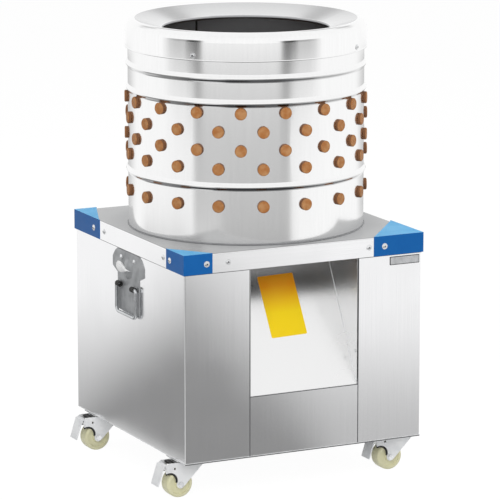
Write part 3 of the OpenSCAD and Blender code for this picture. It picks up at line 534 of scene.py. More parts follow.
@dataclass(frozen=True)
class Coating(Finish):
    """Paint, film or moulded plastic: an even skin with a faint orange peel, painted light where it looks up
    and painted shade on its upper part.

    Attributes:
        FADE_MM: Size of the slow fading.
        FADED: Values of the pattern where the fading starts and where it is full.
        FADE_SHARE: Share of the faded colour where it is full.
        EDGE_MM: How far the rubbing reaches from an edge.
        EDGE_SHARE: Share of the faded colour on an edge.
        COAT_ROUGHNESS: Roughness of the clear coat.
        REFRACTION: Refractive index of paint and plastic.
        faded: Colour of slow fading and of the rubbed edges.
        painted_top_shading: Colour of the painted light on the faces that look up, where it isn't the main
            colour.
        peel_mm: Size of the orange peel or of the mould's texture.
        peel_depth_mm: Depth of that texture.
        gloss: Weight of the clear coat.
        shine: Strength of the mirrored light, 0.5 for a common plastic.
        painted_upper_shade: Colour of the painted shade on the upper part, where it isn't the main colour.
        painted_upper_shade_mm: Heights over the floor where that painted shade starts and where it is full.
    """

    ROUGH_SPREAD: ClassVar[Pair] = (-0.04, 0.06)
    FADE_MM: ClassVar[float] = 45.0
    FADED: ClassVar[Pair] = (0.35, NOISE_HIGH)
    FADE_SHARE: ClassVar[float] = 0.15
    EDGE_MM: ClassVar[float] = 0.8
    EDGE_SHARE: ClassVar[float] = 0.6
    COAT_ROUGHNESS: ClassVar[float] = 0.12
    REFRACTION: ClassVar[float] = 1.5

    faded: str = "#4a86c8"
    painted_top_shading: str = ""
    peel_mm: float = 2.5
    peel_depth_mm: float = 0.02
    gloss: float = 0.25
    shine: float = 0.5
    painted_upper_shade: str = ""
    painted_upper_shade_mm: Pair = (360.0, 412.0)

    def draw(self, tree: NodeTree, shader: Node) -> None:
        """Draws the peel, the painted light on the faces that look up, the painted shade on the upper part,
        the fading and the edges.

        Args:
            tree: Node tree of the material.
            shader: Its principled shader.
        """
        peel = clouds(tree, [self.peel_mm] * 3)
        fading = clouds(tree, [self.FADE_MM] * 3)
        shader.inputs["Coat Weight"].default_value = self.gloss
        shader.inputs["Coat Roughness"].default_value = self.COAT_ROUGHNESS
        shader.inputs["IOR"].default_value = self.REFRACTION
        shader.inputs["Specular IOR Level"].default_value = self.shine
        # Painted light: the faces that look up take a lighter colour where one is given
        layers = [(looks_up(tree), self.painted_top_shading or self.colour)]
        # Painted shade: darker towards the top
        if self.painted_upper_shade:
            spot = add_node(tree, "SeparateXYZ", {0: add_node(tree, "TexCoord").outputs["Object"]})
            start, full = (value * MM for value in self.painted_upper_shade_mm)
            layers.append((add_node(tree, "MapRange", {0: spot.outputs["Z"], 1: start, 2: full}), self.painted_upper_shade))
        start, full = self.FADED
        shade = add_node(tree, "MapRange", {0: fading, 1: start, 2: full, 4: self.FADE_SHARE})
        edge = add_node(tree, "MapRange", {0: worn_edges(tree, self.EDGE_MM), 4: self.EDGE_SHARE})
        layers += [(shade, self.faded), (edge, self.faded)]
        self.feed(tree, shader, layers, self.vary(tree, fading), peel, self.peel_depth_mm)


# Brushed stainless sheet: pale grey that stretches what it mirrors into soft upright gradients, with painted
# shade that greys the faces that look up a little
PANEL_SHEET = BrushedSheet("brushed_stainless_upright", "#f7f7f8", 0.16, "#e4e4e5")
# The same sheet on the top plate, brushed from side to side, with painted shade: grey on the faces that look
# up, darker beside the drum's foot, nearly black on the faces that look towards the drum's axis
TOP_SHEET = BrushedSheet("brushed_stainless_across", "#f9f9fa", 0.18, "#98999a", Grain.ALONG_X,
                         inside="#19191b", painted_foot_shadow="#7d7e80")
# The same sheet on the feather plate inside the drum, with painted shade: grey on the faces that look up,
# nearly black on the faces that look towards the drum's axis
PLATE_SHEET = BrushedSheet("scoured_stainless_plate", "#f9f9fa", 0.18, "#959798", Grain.ALONG_X,
                           inside="#19191b")
# The same sheet on the chute, which feathers and water keep bright
CHUTE_SHEET = BrushedSheet("rinsed_stainless_chute", "#f4f4f4", 0.25, "#f3f3f3", Grain.ALONG_Y)
# Buffed stainless drum and its spun rim: a bright mirror with slow waves, dull inside, with painted shade
# that darkens the inner face and the faces that turn down under beads and edges
DRUM_SHEET = PolishedSheet("buffed_stainless_drum", "#f9f9f9", 0.15)
RIM_SHEET = PolishedSheet("spun_stainless_rim", "#fbfbfb", 0.11, wave_mm=140.0)
# Galvanised mild steel tube: dull grey with darker stains
FRAME_TUBE = PlainMetal("galvanised_tube", "#9fa3a6", 0.42, "#74787b", 3.0, 0.05)
# Natural rubber fingers: tan brown, dull, with a pale bloom on the heads and painted shade that darkens their
# flanks
FINGER_RUBBER = Rubber("moulded_tan_rubber", "#a96d3a", 0.55, "#c69a6c", flank="#7c5336")
# Carbon-black rubber paddles and belt: dark grey, dull
BLACK_RUBBER = Rubber("moulded_black_rubber", "#232323", 0.6, "#3b3a38", 1.6)
BELT_RUBBER = Rubber("cloth_backed_belt_rubber", "#1c1c1d", 0.7, "#34302c", 0.8)
# Turned carbon steel: bright with a fine lathe grain
TURNED_STEEL = PlainMetal("turned_steel", "#b9bbbd", 0.28, "#8b8e91", 0.8, 0.01)
# Sand-cast iron: dark and grainy, bright where it rubs
CAST_IRON = PlainMetal("sand_cast_iron", "#6a6d70", 0.5, "#3f4143", 1.4, 0.09, "#a9abad")
PULLEY_IRON = PlainMetal("machined_cast_iron", "#80848a", 0.38, "#565a5f", 1.2, 0.04)
# Enamelled motor casing: blue-grey gloss with a faint orange peel
MOTOR_ENAMEL = Coating("motor_enamel", "#3f4c58", 0.38, "#5c6a76", peel_mm=2.0, peel_depth_mm=0.03)
# Moulded ABS: charcoal with a spark-eroded texture, and glossy caps
SWITCH_ABS = Coating("moulded_charcoal_abs", "#2b2c2e", 0.45, "#414246",
                     peel_mm=0.9, peel_depth_mm=0.03, gloss=0.0)
GREEN_CAP = Coating("moulded_green_abs", "#1f8a46", 0.32, "#3fa565", peel_mm=1.2, peel_depth_mm=0.01)
RED_CAP = Coating("moulded_red_abs", "#b3201f", 0.32, "#cf4a45", peel_mm=1.2, peel_depth_mm=0.01)
WHITE_ABS = Coating("moulded_white_abs", "#e8e8e4", 0.4, "#d5d5d0", peel_mm=1.2, peel_depth_mm=0.01)
# Blue film over the steel of the corner guards: deep blue on the sides, and painted light that makes the
# faces that look up sky blue
GUARD_FILM = Coating("blue_filmed_steel", "#135ea5", 0.36, "#2570b4", "#58b2e4", 3.0, 0.01, 0.0, shine=0.12)
# Stamped handle plate and chromed wire: bright plating over pressed steel
HANDLE_PLATE = PlainMetal("stamped_stainless", "#a6a8aa", 0.4, "#6d6f72", 1.6, 0.08, "#d0d0d0", 0.5)
# Painted highlight: a near-white, barely mirroring drop on the handle plate
HANDLE_HIGHLIGHT = PlainMetal("painted_highlight_steel", "#fbfbfb", 0.3, "#e4e5e6", 1.6, 0.02, "#fbfbfb", 0.1)
CHROME_WIRE = PlainMetal("chromed_wire", "#d2d4d6", 0.1, "#8d9093", 3.0, 0.01, "#f6f6f6")
SCREW_STEEL = PlainMetal("bright_screw_steel", "#eeeff0", 0.22, "#b4b6b8", 1.0, 0.01, "#f0f0f0")
# Painted shade: dull, dark bars in the recess of a screw, and dark grey strips that stand in for the shadow
# lines under the apron and along the seams
RECESS_SHADE = PlainMetal("painted_recess_shade", "#3c3d3f", 0.5, "#2b2c2e", 1.0, 0.01, "#55565a")
SEAM_SHADOW_STRIP = Rubber("painted_seam_shadow_strip", "#48494b", 0.5, "#5c5d5f", 1.5)
# Painted shade: a paler grey fillet round the drum's foot, a soft grey line that stands in for its contact
# shadow
FOOT_SHADOW_FILLET = Rubber("painted_drum_foot_shade", "#858688", 0.5, "#98999b", 1.5)
# Bright zinc on pressed castor steel: nearly white, only a quarter of a mirror, with cool stains
CASTOR_ZINC = PlainMetal("bright_zinc_plate", "#eff0f1", 0.36, "#cfd2d6", 2.5, 0.02, "#f4f4f5", 0.25)
# Cast nylon tread: waxy ivory
CASTOR_NYLON = Coating("cast_ivory_nylon", "#dcd9b4", 0.42, "#e6e4cb",
                       peel_mm=2.0, peel_depth_mm=0.03, gloss=0.0)
# Calendered vinyl film: warm yellow with a soft sheen, and painted shade that turns it orange towards its top
YELLOW_VINYL = Coating("calendered_yellow_vinyl", "#fedb12", 0.4, "#f4d040", peel_mm=6.0, peel_depth_mm=0.01,
                       gloss=0.0, shine=0.3, painted_upper_shade="#f29c1a")
# Anodised aluminium plate on a dark enamelled edge
PLATE_FACE = PlainMetal("anodised_aluminium", "#c9cacc", 0.3, "#a7a9ab", 0.8, 0.01)
PLATE_EDGE = Coating("dark_plate_enamel", "#3b3c3f", 0.4, "#5b5c60", peel_mm=1.5, peel_depth_mm=0.01)
# Weld metal with its heat tint: dark straw grey and rippled
WELD_METAL = PlainMetal("heat_tinted_weld", "#4a4846", 0.4, "#2f2e2d", 1.5, 0.05, "#77736d")


def paint(finish: Finish, nodes: Iterable[str]) -> None:
    """Gives CAD nodes one finish.

    Args:
        finish: Finish that the nodes get.
        nodes: Names of the nodes.
    """
    material = finish.make()
    for name in nodes:
        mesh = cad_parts[name].data
        mesh.materials.clear()
        mesh.materials.append(material)
        LOG.info("%s: %s", name, finish.name)


def loft(shape: BMesh, rings: Sequence[Sequence[Vector]], closed: bool = False) -> None:
    """Joins rings of points with side faces.

    Args:
        shape: Mesh that receives the faces.
        rings: Rings with as many points each.
        closed: True where the last ring joins the first, or else both ends get a face.
    """
    made = [[shape.verts.new(point) for point in ring] for ring in rings]
    pairs = list(zip(made, made[1:]))
    if closed:
        pairs.append((made[-1], made[0]))
    for low, high in pairs:
        for i in range(len(low)):
            shape.faces.new((low[i - 1], low[i], high[i], high[i - 1]))
    if not closed:
        shape.faces.new(made[0])
        shape.faces.new(made[-1])


def circle(place: Matrix, radius_mm: float, lift_mm: float, count: int = 32) -> list[Vector]:
    """Sets points on a circle.

    Args:
        place: Where the circle's middle lies, and how it is turned.
        radius_mm: Radius.
        lift_mm: Height over the middle, along the axis.
        count: How many points.

    Returns:
        The points, in metres.
    """
    turns = [math.tau * i / count for i in range(count)]
    return [place @ (Vector((radius_mm * math.cos(t), radius_mm * math.sin(t), lift_mm)) * MM) for t in turns]


def add_tube(shape: BMesh, place: Matrix, radii_mm: Pair, lifts_mm: Pair, count: int = 32) -> None:
    """Adds a short tube with square ends to a mesh.

    Args:
        shape: Mesh that receives it.
        place: Where the point lies from which its ends are counted, and how its axis is turned.
        radii_mm: Inner and outer radius.
        lifts_mm: Heights of its two ends, along the axis.
        count: How many points go round it.
    """
    inner, outer = radii_mm
    low, high = lifts_mm
    section = ((inner, low), (outer, low), (outer, high), (inner, high))
    loft(shape, [circle(place, radius, lift, count) for radius, lift in section], closed=True)


def add_piece(name: str, shape: BMesh, finish: Finish, body: str) -> None:
    """Turns a mesh into a piece of the object.

    Args:
        name: Name of the piece.
        shape: Its mesh, which is used up.
        finish: Its finish.
        body: Body that it moves with.
    """
    sharp_degrees = 35
    bmesh.ops.recalc_face_normals(shape, faces=shape.faces)
    mesh = bpy.data.meshes.new(name)
    shape.to_mesh(mesh)
    shape.free()
    mesh.materials.append(finish.make())
    mesh.shade_smooth()
    mesh.set_sharp_from_angle(angle=math.radians(sharp_degrees))
    piece = bpy.data.objects.new(name, mesh)
    bpy.context.scene.collection.objects.link(piece)
    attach(piece, body)
    LOG.info("%s: %s, on %s", name, finish.name, body)


def corners_of(node: str) -> tuple[Vector, Vector]:
    """Gives the lowest and highest corners of a CAD node at rest."""
    low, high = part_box(node)
    return Vector(low), Vector(high)


def inset_corners(low: Vector, high: Vector, gap_mm: float, axis: int, level: float) -> list[Vector]:
    """Sets a point in from each corner of a box's face.

    Args:
        low: Lowest corner of the box.
        high: Highest corner of the box.
        gap_mm: How far in from the edges the points lie.
        axis: Number of the axis that the face looks along.
        level: Where the points lie along that axis, in metres.

    Returns:
        The four points, in metres.
    """
    gap = gap_mm * MM
    first, second = (i for i in range(3) if i != axis)
    points = []
    for across in (low[first] + gap, high[first] - gap):
        for along in (low[second] + gap, high[second] - gap):
            point = Vector((0.0, 0.0, 0.0))
            point[first], point[second], point[axis] = across, along, level
            points.append(point)
    return points


def meet(node: str, start: Sequence[float], way: Sequence[float]) -> tuple[Vector, Vector]:
    """Finds where a straight line first meets a CAD node.

    Args:
        node: Name of the node.
        start: Where the line starts, in metres.
        way: Direction of the line.

    Returns:
        The place, and the direction that the surface faces there.
    """
    found, place, facing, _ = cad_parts[node].ray_cast(Vector(start), Vector(way))
    if not found:
        raise ValueError(f"no surface of {node} on the line from {tuple(start)}")
    return place, facing


def solids_of(node: str) -> list[list[Vector]]:
    """Sorts the points of a CAD node by the separate solids that they belong to.

    Args:
        node: Name of the node.

    Returns:
        A list of points for each solid, in metres.
    """
    same_point_mm = 0.001
    shape = bmesh.new()
    shape.from_mesh(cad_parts[node].data)
    bmesh.ops.remove_doubles(shape, verts=shape.verts, dist=same_point_mm * MM)
    found, groups = set(), []
    for first in shape.verts:
        if first in found:
            continue
        found.add(first)
        queue, group = [first], []
        while queue:
            point = queue.pop()
            group.append(point.co.copy())
            others = [edge.other_vert(point) for edge in point.link_edges]
            joined = [other for other in others if other not in found]
            found.update(joined)
            queue += joined
        groups.append(group)
    shape.free()
    return groups


# Share of the radius, share of the height, and whether the ring is a hexagon
HeadRing = tuple[float, float, bool]


@dataclass(frozen=True)
class Fastener:
    """A screw, bolt or rivet head.

    Attributes:
        DOME_TURNS: Degrees along the dome at which it has a ring.
        DOME_FOOT: Share of the height at which the dome starts.
        BOLT_RINGS: Rings of a hexagon head, from its washer to its middle.
        SOCKET_RINGS: Rings of a socket, from the dome to its bottom.
        CROWN_RINGS: Rings of a rivet's crown, from the dome to its middle.
        head: Kind of head.
        radius_mm: Radius of the head.
        height_mm: Height of the head.
        sides: Points round the head.
    """

    DOME_TURNS: ClassVar[tuple[int, ...]] = (0, 18, 36, 52)
    DOME_FOOT: ClassVar[float] = 0.35
    BOLT_RINGS: ClassVar[tuple[HeadRing, ...]] = (
        (1.35, 0.0, False), (1.35, 0.2, False), (1.02, 0.2, False), (0.86, 0.2, True), (0.86, 0.9, True),
        (0.8, 1.0, False), (0.2, 1.0, False))
    SOCKET_RINGS: ClassVar[tuple[HeadRing, ...]] = (
        (0.42, 0.92, False), (0.34, 0.9, True), (0.34, 0.4, True), (0.1, 0.35, False))
    CROWN_RINGS: ClassVar[tuple[HeadRing, ...]] = ((0.3, 0.97, False), (0.05, 1.0, False))

    head: Head
    radius_mm: float
    height_mm: float
    sides: int = 36

    def outline(self) -> list[HeadRing]:
        """Lists the rings of the head from its seat to its middle.

        Returns:
            Radius and height of each ring in shares of the head's own, and whether it is a hexagon.
        """
        if self.head is Head.HEXAGON:
            return list(self.BOLT_RINGS)
        turns = [math.radians(turn) for turn in self.DOME_TURNS]
        dome = [(math.cos(t), self.DOME_FOOT + (1 - self.DOME_FOOT) * math.sin(t), False) for t in turns]
        top = self.SOCKET_RINGS if self.head is Head.SOCKET else self.CROWN_RINGS
        return [(1.0, 0.0, False), *dome, *top]

    def add(self, shape: BMesh, place: Vector, way: Vector) -> None:
        """Adds one head to a mesh.

        Args:
            shape: Mesh that receives it.
            place: Middle of its seat, in metres.
            way: Direction that it points in.
        """
        turn = Matrix.Translation(place) @ way.to_track_quat("Z", "Y").to_matrix().to_4x4()
        rings = []
        for share, rise, is_hexagon in self.outline():
            radius, height = self.radius_mm * share, self.height_mm * rise
            ring = []
            for i in range(self.sides):
                angle = math.tau * i / self.sides
                off_flat = (angle + math.pi / 6) % (math.pi / 3) - math.pi / 6
                reach = radius / math.cos(off_flat) if is_hexagon else radius
                ring.append(turn @ (Vector((reach * math.cos(angle), reach * math.sin(angle), height)) * MM))
            rings.append(ring)
        loft(shape, rings)


def add_fasteners(name: str, kind: Fastener, places: Iterable[Vector], way: Sequence[float]) -> None:
    """Makes a group of heads that the cabinet carries.

    Args:
        name: Name of the group.
        kind: Fastener that all of them are.
        places: Middles of their seats, in metres.
        way: Direction that they point in.
    """
    shape = bmesh.new()
    for place in places:
        kind.add(shape, place, Vector(way))
    add_piece(name, shape, SCREW_STEEL, "cabinet")


@dataclass(frozen=True)
class Plate:
    """A thin flat plate with round corners.

    Attributes:
        CORNER_STEPS: Straight steps in the arc of a corner.
        EDGE_SHARE: Share of the thickness that its broken edge takes.
        width_mm: Size along its own X.
        height_mm: Size along its own Y.
        corner_mm: Radius of its corners.
        thick_mm: Thickness.
    """

    CORNER_STEPS: ClassVar[int] = 6
    EDGE_SHARE: ClassVar[float] = 0.4

    width_mm: float
    height_mm: float
    corner_mm: float
    thick_mm: float

    def ring(self, place: Matrix, inset_mm: float, lift_mm: float) -> list[Vector]:
        """Sets points round the outline.

        Args:
            place: Where the middle of the plate's back lies, and how it is turned.
            inset_mm: How far the outline is drawn in.
            lift_mm: Height over the plate's back.

        Returns:
            The points, in metres.
        """
        points = []
        for quarter, (side, end) in enumerate(((1, 1), (-1, 1), (-1, -1), (1, -1))):
            for i in range(self.CORNER_STEPS + 1):
                angle = math.radians(90 * (quarter + i / self.CORNER_STEPS))
                reach = self.corner_mm - inset_mm
                across = side * (self.width_mm / 2 - self.corner_mm) + reach * math.cos(angle)
                along = end * (self.height_mm / 2 - self.corner_mm) + reach * math.sin(angle)
                points.append(place @ (Vector((across, along, lift_mm)) * MM))
        return points

    def add(self, shape: BMesh, place: Matrix) -> None:
        """Adds the plate to a mesh.

        Args:
            shape: Mesh that receives it.
            place: Where the middle of its back lies, and how it is turned.
        """
        edge = self.thick_mm * self.EDGE_SHARE
        loft(shape, [self.ring(place, 0.0, 0.0), self.ring(place, 0.0, self.thick_mm - edge),
                     self.ring(place, edge, self.thick_mm)])


@dataclass
class Studio:
    """White floor, soft lamps, what the steel mirrors, and the camera.

    A side is the direction of a sector's middle in degrees, counted from +X towards +Y. A width is half the
    width of a sector and half the width of its soft border, in degrees. A light is a brightness, where 1 is
    white. A level is the level part of a direction of length 1. Lengths are in metres.

    Attributes:
        camera_place: Where the camera stands.
        camera_turn: Degrees that the view is turned from straight ahead, less than 0 to the right.
        camera_dip: Degrees that the view looks down.
        sensor_mm: Width of the camera's sensor.
        focal_mm: Focal length on that sensor.
        lamps: Name, place, size and watts of each square soft box.
        lamp_aim: Place that the lamps face.
        ambient: Light of the world on all but mirrors.
        floor_reach: Distance from the middle of the floor to its edges.
        paper: Colour of the floor.
        paper_light: Light of the floor in the camera's view.
        paper_share: Share of that light in the view; the rest keeps the shadow.
        near_zone: Distances from the object between which the mirrored floor brightens.
        near_lights: Lights of the mirrored floor at those distances.
        cloth_side: Side of the dark floor cloth that the panels mirror.
        cloth_width: Its width.
        cloth_light: Its light.
        strip_side: Side of the white strip in that cloth, which lights the front corner.
        strip_width: Its width.
        table: Distance from the middle of the white table top, which lights the lower edges, to its edges.
        table_soft: Half the width of the table top's soft border.
        wall_side: Side of the grey wall that the drum mirrors as a broad band.
        wall_width: Its width.
        wall_light: Its light.
        wall_zone: Distances between which the floor gives way to that wall.
        upper_zone: Distances between which the grey wall gives way to its upper, white part.
        edge_sides: Sides of the dark edges of the white part, which the rim mirrors.
        edge_width: Their width.
        edge_light: Their light.
        fade: Degrees over which the white part fades beside its dark edges.
        fade_light: Its light where it has faded.
        valance_side: Side of the grey valance over the backdrop, which the crown mirrors.
        valance_width: Its width.
        valance_level: Level of its middle.
        valance_band: How far a level is from that where the valance ends and where it is full.
        valance_share: Share of its light where it is full.
        valance_light: Its light.
        backdrop_width: Width of the shaded backdrop under the valance.
        backdrop_light: Light of that backdrop.
        ceiling_level: Level where the ceiling has its own light.
        ceiling_light: That light.
        wall_levels: Levels between which the ceiling gives way to the wall's white part.
    """

    camera_place: Triple = (-3.1339, -6.3575, 1.9222)
    camera_turn: float = -26.31
    camera_dip: float = 11.69
    sensor_mm: float = 36.0
    focal_mm: float = 244.9
    lamps: tuple[tuple[str, Triple, float, float], ...] = (
        ("key_lamp", (-2.2, -3.6, 2.6), 2.6, 104.0),
        ("fill_lamp", (3.0, -2.4, 2.8), 3.4, 40.0),
        ("top_lamp", (0.2, 0.4, 3.6), 3.4, 75.0))
    lamp_aim: Triple = (0.0, 0.0, 0.5)
    ambient: float = 0.24
    floor_reach: float = 40.0
    paper: str = "#f4f4f4"
    paper_light: float = 1.06
    paper_share: float = 0.91
    near_zone: Pair = (0.6, 2.1)
    near_lights: Pair = (0.54, 1.0)
    cloth_side: float = 207.8
    cloth_width: Pair = (80.2, 7.0)
    cloth_light: float = 0.28
    strip_side: float = 206.0
    strip_width: Pair = (14.0, 8.0)
    table: float = 0.4
    table_soft: float = 0.04
    wall_side: float = 240.0
    wall_width: Pair = (46.0, 3.0)
    wall_light: float = 0.56
    wall_zone: Pair = (2.3, 2.9)
    upper_zone: Pair = (6.1, 6.25)
    edge_sides: Pair = (194.0, 285.0)
    edge_width: Pair = (6.0, 4.0)
    edge_light: float = 0.07
    fade: float = 12.0
    fade_light: float = 0.45
    valance_side: float = 63.7
    valance_width: Pair = (30.0, 12.0)
    valance_level: float = 0.85
    valance_band: Pair = (0.06, 0.03)
    valance_share: float = 0.55
    valance_light: float = 0.25
    backdrop_width: Pair = (30.0, 22.0)
    backdrop_light: float = 0.6
    ceiling_level: float = 0.4
    ceiling_light: float = 0.95
    wall_levels: Pair = (0.984, 0.992)

    def build(self) -> None:
        """Builds the whole studio."""
        self.place_camera()
        self.lay_floor()
        self.light_world()
        for lamp in self.lamps:
            self.hang_lamp(*lamp)
        bpy.context.scene.view_settings.view_transform = "Standard"
        LOG.info("studio: camera, floor, world and %d lamps", len(self.lamps))

    def place_camera(self) -> None:
        """Stands the camera at the photograph's viewing angle."""
        data = bpy.data.cameras.new("camera")
        data.lens = self.focal_mm
        data.sensor_width = self.sensor_mm
        camera = bpy.data.objects.new("camera", data)
        camera.location = self.camera_place
        camera.rotation_euler = (math.radians(90 - self.camera_dip), 0.0, math.radians(self.camera_turn))
        bpy.context.scene.collection.objects.link(camera)
        bpy.context.scene.camera = camera

    def sector(self, tree: NodeTree, way: NodeSocket, middle: float, half: float, soft: float) -> Node:
        """Marks the level directions round one side.

        Args:
            tree: Node tree that receives the nodes.
            way: Socket with a level direction of length 1.
            middle: Middle of the sector in degrees, counted from +X towards +Y.
            half: Half its width in degrees.
            soft: Half the width of its soft border in degrees.

        Returns:
            Node whose value is 1 inside the sector and 0 outside.
        """
        side = (math.cos(math.radians(middle)), math.sin(math.radians(middle)), 0.0)
        turn = add_node(tree, "VectorMath", {0: way, 1: side}, operation="DOT_PRODUCT")
        return add_node(tree, "MapRange", {
            0: turn.outputs["Value"], 1: math.cos(math.radians(half + soft)),
            2: math.cos(math.radians(half - soft))}, interpolation_type="SMOOTHSTEP")

    def level_way(self, tree: NodeTree, vector: NodeSocket) -> tuple[NodeSocket, NodeSocket]:
        """Flattens a vector onto the floor.

        Args:
            tree: Node tree that receives the nodes.
            vector: Socket with a place or a direction.

        Returns:
            Socket with its level direction, and socket with its level length.
        """
        flat = add_node(tree, "VectorMath", {0: vector, 1: LEVEL}, operation="MULTIPLY")
        way = add_node(tree, "VectorMath", {0: flat}, operation="NORMALIZE")
        length = add_node(tree, "VectorMath", {0: flat}, operation="LENGTH")
        return way.outputs[0], length.outputs["Value"]

    def edged_wall(self, tree: NodeTree, way: NodeSocket) -> Node:
        """Draws the upper, white part of the wall with its two dark edges, which the rim mirrors.

        Args:
            tree: Node tree that receives the nodes.
            way: Socket with the level direction.

        Returns:
            Node with the brightness.
        """
        middle = sum(self.edge_sides) / 2
        dark, soft = [], []
        for side in self.edge_sides:
            dark.append(self.sector(tree, way, side, *self.edge_width))
            beside = side + math.copysign(self.fade, side - middle)
            soft.append(self.sector(tree, way, beside, self.fade, self.fade))
        edges = add_node(tree, "Math", {0: dark[0], 1: dark[1]}, operation="MAXIMUM")
        fades = add_node(tree, "Math", {0: soft[0], 1: soft[1]}, operation="MAXIMUM")
        faded = add_node(tree, "MapRange", {0: fades, 3: 1.0, 4: self.fade_light})
        return add_node(tree, "Mix", {0: edges, 2: faded, 3: self.edge_light})

    def mirrored_floor(self, tree: NodeTree, place: NodeSocket) -> Node:
        """Draws what the metal mirrors below eye level: the cloth, the table top and the wall.

        Args:
            tree: Node tree that receives the nodes.
            place: Socket with a place on the floor.

        Returns:
            Node with the brightness.
        """
        way, distance = self.level_way(tree, place)
        start, end = self.near_zone
        first, last = self.near_lights
        bright = add_node(tree, "MapRange", {0: distance, 1: start, 2: end, 3: first, 4: last},
                          interpolation_type="SMOOTHSTEP")
        in_strip = self.sector(tree, way, self.strip_side, *self.strip_width)
        strip = add_node(tree, "MapRange", {0: in_strip, 3: self.cloth_light, 4: 1.0})
        in_cloth = self.sector(tree, way, self.cloth_side, *self.cloth_width)
        cloth = add_node(tree, "Mix", {0: in_cloth, 2: bright, 3: strip})
        spot = add_node(tree, "VectorMath", {0: place}, operation="ABSOLUTE")
        side = add_node(tree, "SeparateXYZ", {0: spot})
        reach = add_node(tree, "Math", {0: side.outputs["X"], 1: side.outputs["Y"]}, operation="MAXIMUM")
        on_table = add_node(tree, "MapRange", {
            0: reach, 1: self.table + self.table_soft, 2: self.table - self.table_soft})
        near = add_node(tree, "Mix", {0: on_table, 2: cloth, 3: 1.0})
        in_backdrop = self.sector(tree, way, self.valance_side, *self.backdrop_width)
        backdrop = add_node(tree, "MapRange", {0: in_backdrop, 3: 1.0, 4: self.backdrop_light})
        in_wall = self.sector(tree, way, self.wall_side, *self.wall_width)
        wall = add_node(tree, "Mix", {0: in_wall, 2: backdrop, 3: self.wall_light})
        start, end = self.wall_zone
        beyond = add_node(tree, "MapRange", {0: distance, 1: start, 2: end})
        lower = add_node(tree, "Mix", {0: beyond, 2: near, 3: wall})
        start, end = self.upper_zone
        above = add_node(tree, "MapRange", {0: distance, 1: start, 2: end})
        return add_node(tree, "Mix", {0: above, 2: lower, 3: self.edged_wall(tree, way)})

    def lay_floor(self) -> None:
        """Lays a white floor that keeps the shadow, and shows the metal a darker cloth and wall."""
        mesh = bpy.data.meshes.new("floor")
        reach = self.floor_reach
        corners = [(-reach, -reach, 0), (reach, -reach, 0), (reach, reach, 0), (-reach, reach, 0)]
        mesh.from_pydata(corners, [], [(0, 1, 2, 3)])
        floor = bpy.data.objects.new("floor", mesh)
        bpy.context.scene.collection.objects.link(floor)
        material = bpy.data.materials.new("white_paper_floor")
        material.use_nodes = True
        tree = material.node_tree
        tree.nodes.clear()
        path = add_node(tree, "LightPath")
        place = add_node(tree, "NewGeometry").outputs["Position"]
        mirrored = add_node(tree, "Emission", {"Strength": self.mirrored_floor(tree, place)})
        paper = add_node(tree, "BsdfDiffuse", {"Color": linear(self.paper)})
        white = add_node(tree, "Emission", {"Strength": self.paper_light})
        share = add_node(tree, "Math", {
            0: path.outputs["Is Camera Ray"], 1: self.paper_share}, operation="MULTIPLY")
        seen = add_node(tree, "MixShader", {0: share, 1: paper, 2: white})
        both = add_node(tree, "MixShader", {0: path.outputs["Is Glossy Ray"], 1: seen, 2: mirrored})
        add_node(tree, "OutputMaterial", {"Surface": both})
        mesh.materials.append(material)
        material.cycles.emission_sampling = "NONE"

    def mirrored_sky(self, tree: NodeTree, direction: NodeSocket) -> Node:
        """Draws what the metal mirrors above eye level: the ceiling, the valance and the wall.

        Args:
            tree: Node tree that receives the nodes.
            direction: Socket with a direction.

        Returns:
            Node with the brightness.
        """
        way, level = self.level_way(tree, direction)
        ceiling = add_node(tree, "MapRange", {
            0: level, 1: 1.0, 2: self.ceiling_level, 3: 1.0, 4: self.ceiling_light})
        off = add_node(tree, "Math", {0: level, 1: self.valance_level}, operation="SUBTRACT")
        away = add_node(tree, "Math", {0: off}, operation="ABSOLUTE")
        none, full = self.valance_band
        band = add_node(tree, "MapRange", {0: away, 1: none, 2: full, 4: self.valance_share})
        in_valance = self.sector(tree, way, self.valance_side, *self.valance_width)
        valance = add_node(tree, "Math", {0: band, 1: in_valance}, operation="MULTIPLY")
        upper = add_node(tree, "Mix", {0: valance, 2: ceiling, 3: self.valance_light})
        wall = add_node(tree, "Math", {0: upper, 1: self.edged_wall(tree, way)}, operation="MULTIPLY")
        start, full = self.wall_levels
        on_wall = add_node(tree, "MapRange", {0: level, 1: start, 2: full})
        return add_node(tree, "Mix", {0: on_wall, 2: upper, 3: wall})

    def light_world(self) -> None:
        """Surrounds the object with even white light, and the metal with a pale wall and ceiling."""
        world = bpy.data.worlds.new("studio")
        bpy.context.scene.world = world
        world.use_nodes = True
        tree = world.node_tree
        tree.nodes.clear()
        path = add_node(tree, "LightPath")
        mirrored = self.mirrored_sky(tree, add_node(tree, "TexCoord").outputs["Generated"])
        even = add_node(tree, "Mix", {0: path.outputs["Is Camera Ray"], 2: self.ambient, 3: 1.0})
        strength = add_node(tree, "Mix", {0: path.outputs["Is Glossy Ray"], 2: even, 3: mirrored})
        light = add_node(tree, "Background", {"Color": (1.0, 1.0, 1.0, 1.0), "Strength": strength})
        add_node(tree, "OutputWorld", {"Surface": light})
        world.cycles.sampling_method = "NONE"

    def hang_lamp(self, name: str, place: Sequence[float], size: float, watts: float) -> None:
        """Hangs one soft box that faces the object and isn't mirrored.

        Args:
            name: Name of the lamp.
            place: Where it hangs, in metres.
            size: Length of the box's edges, in metres.
            watts: Power of the lamp.
        """
        data = bpy.data.lights.new(name, "AREA")
        data.size = size
        data.energy = watts
        lamp = bpy.data.objects.new(name, data)
        lamp.location = place
        aim = Vector(self.lamp_aim) - lamp.location
        lamp.rotation_euler = aim.to_track_quat("-Z", "Y").to_euler()
        lamp.visible_glossy = False
        bpy.context.scene.collection.objects.link(lamp)


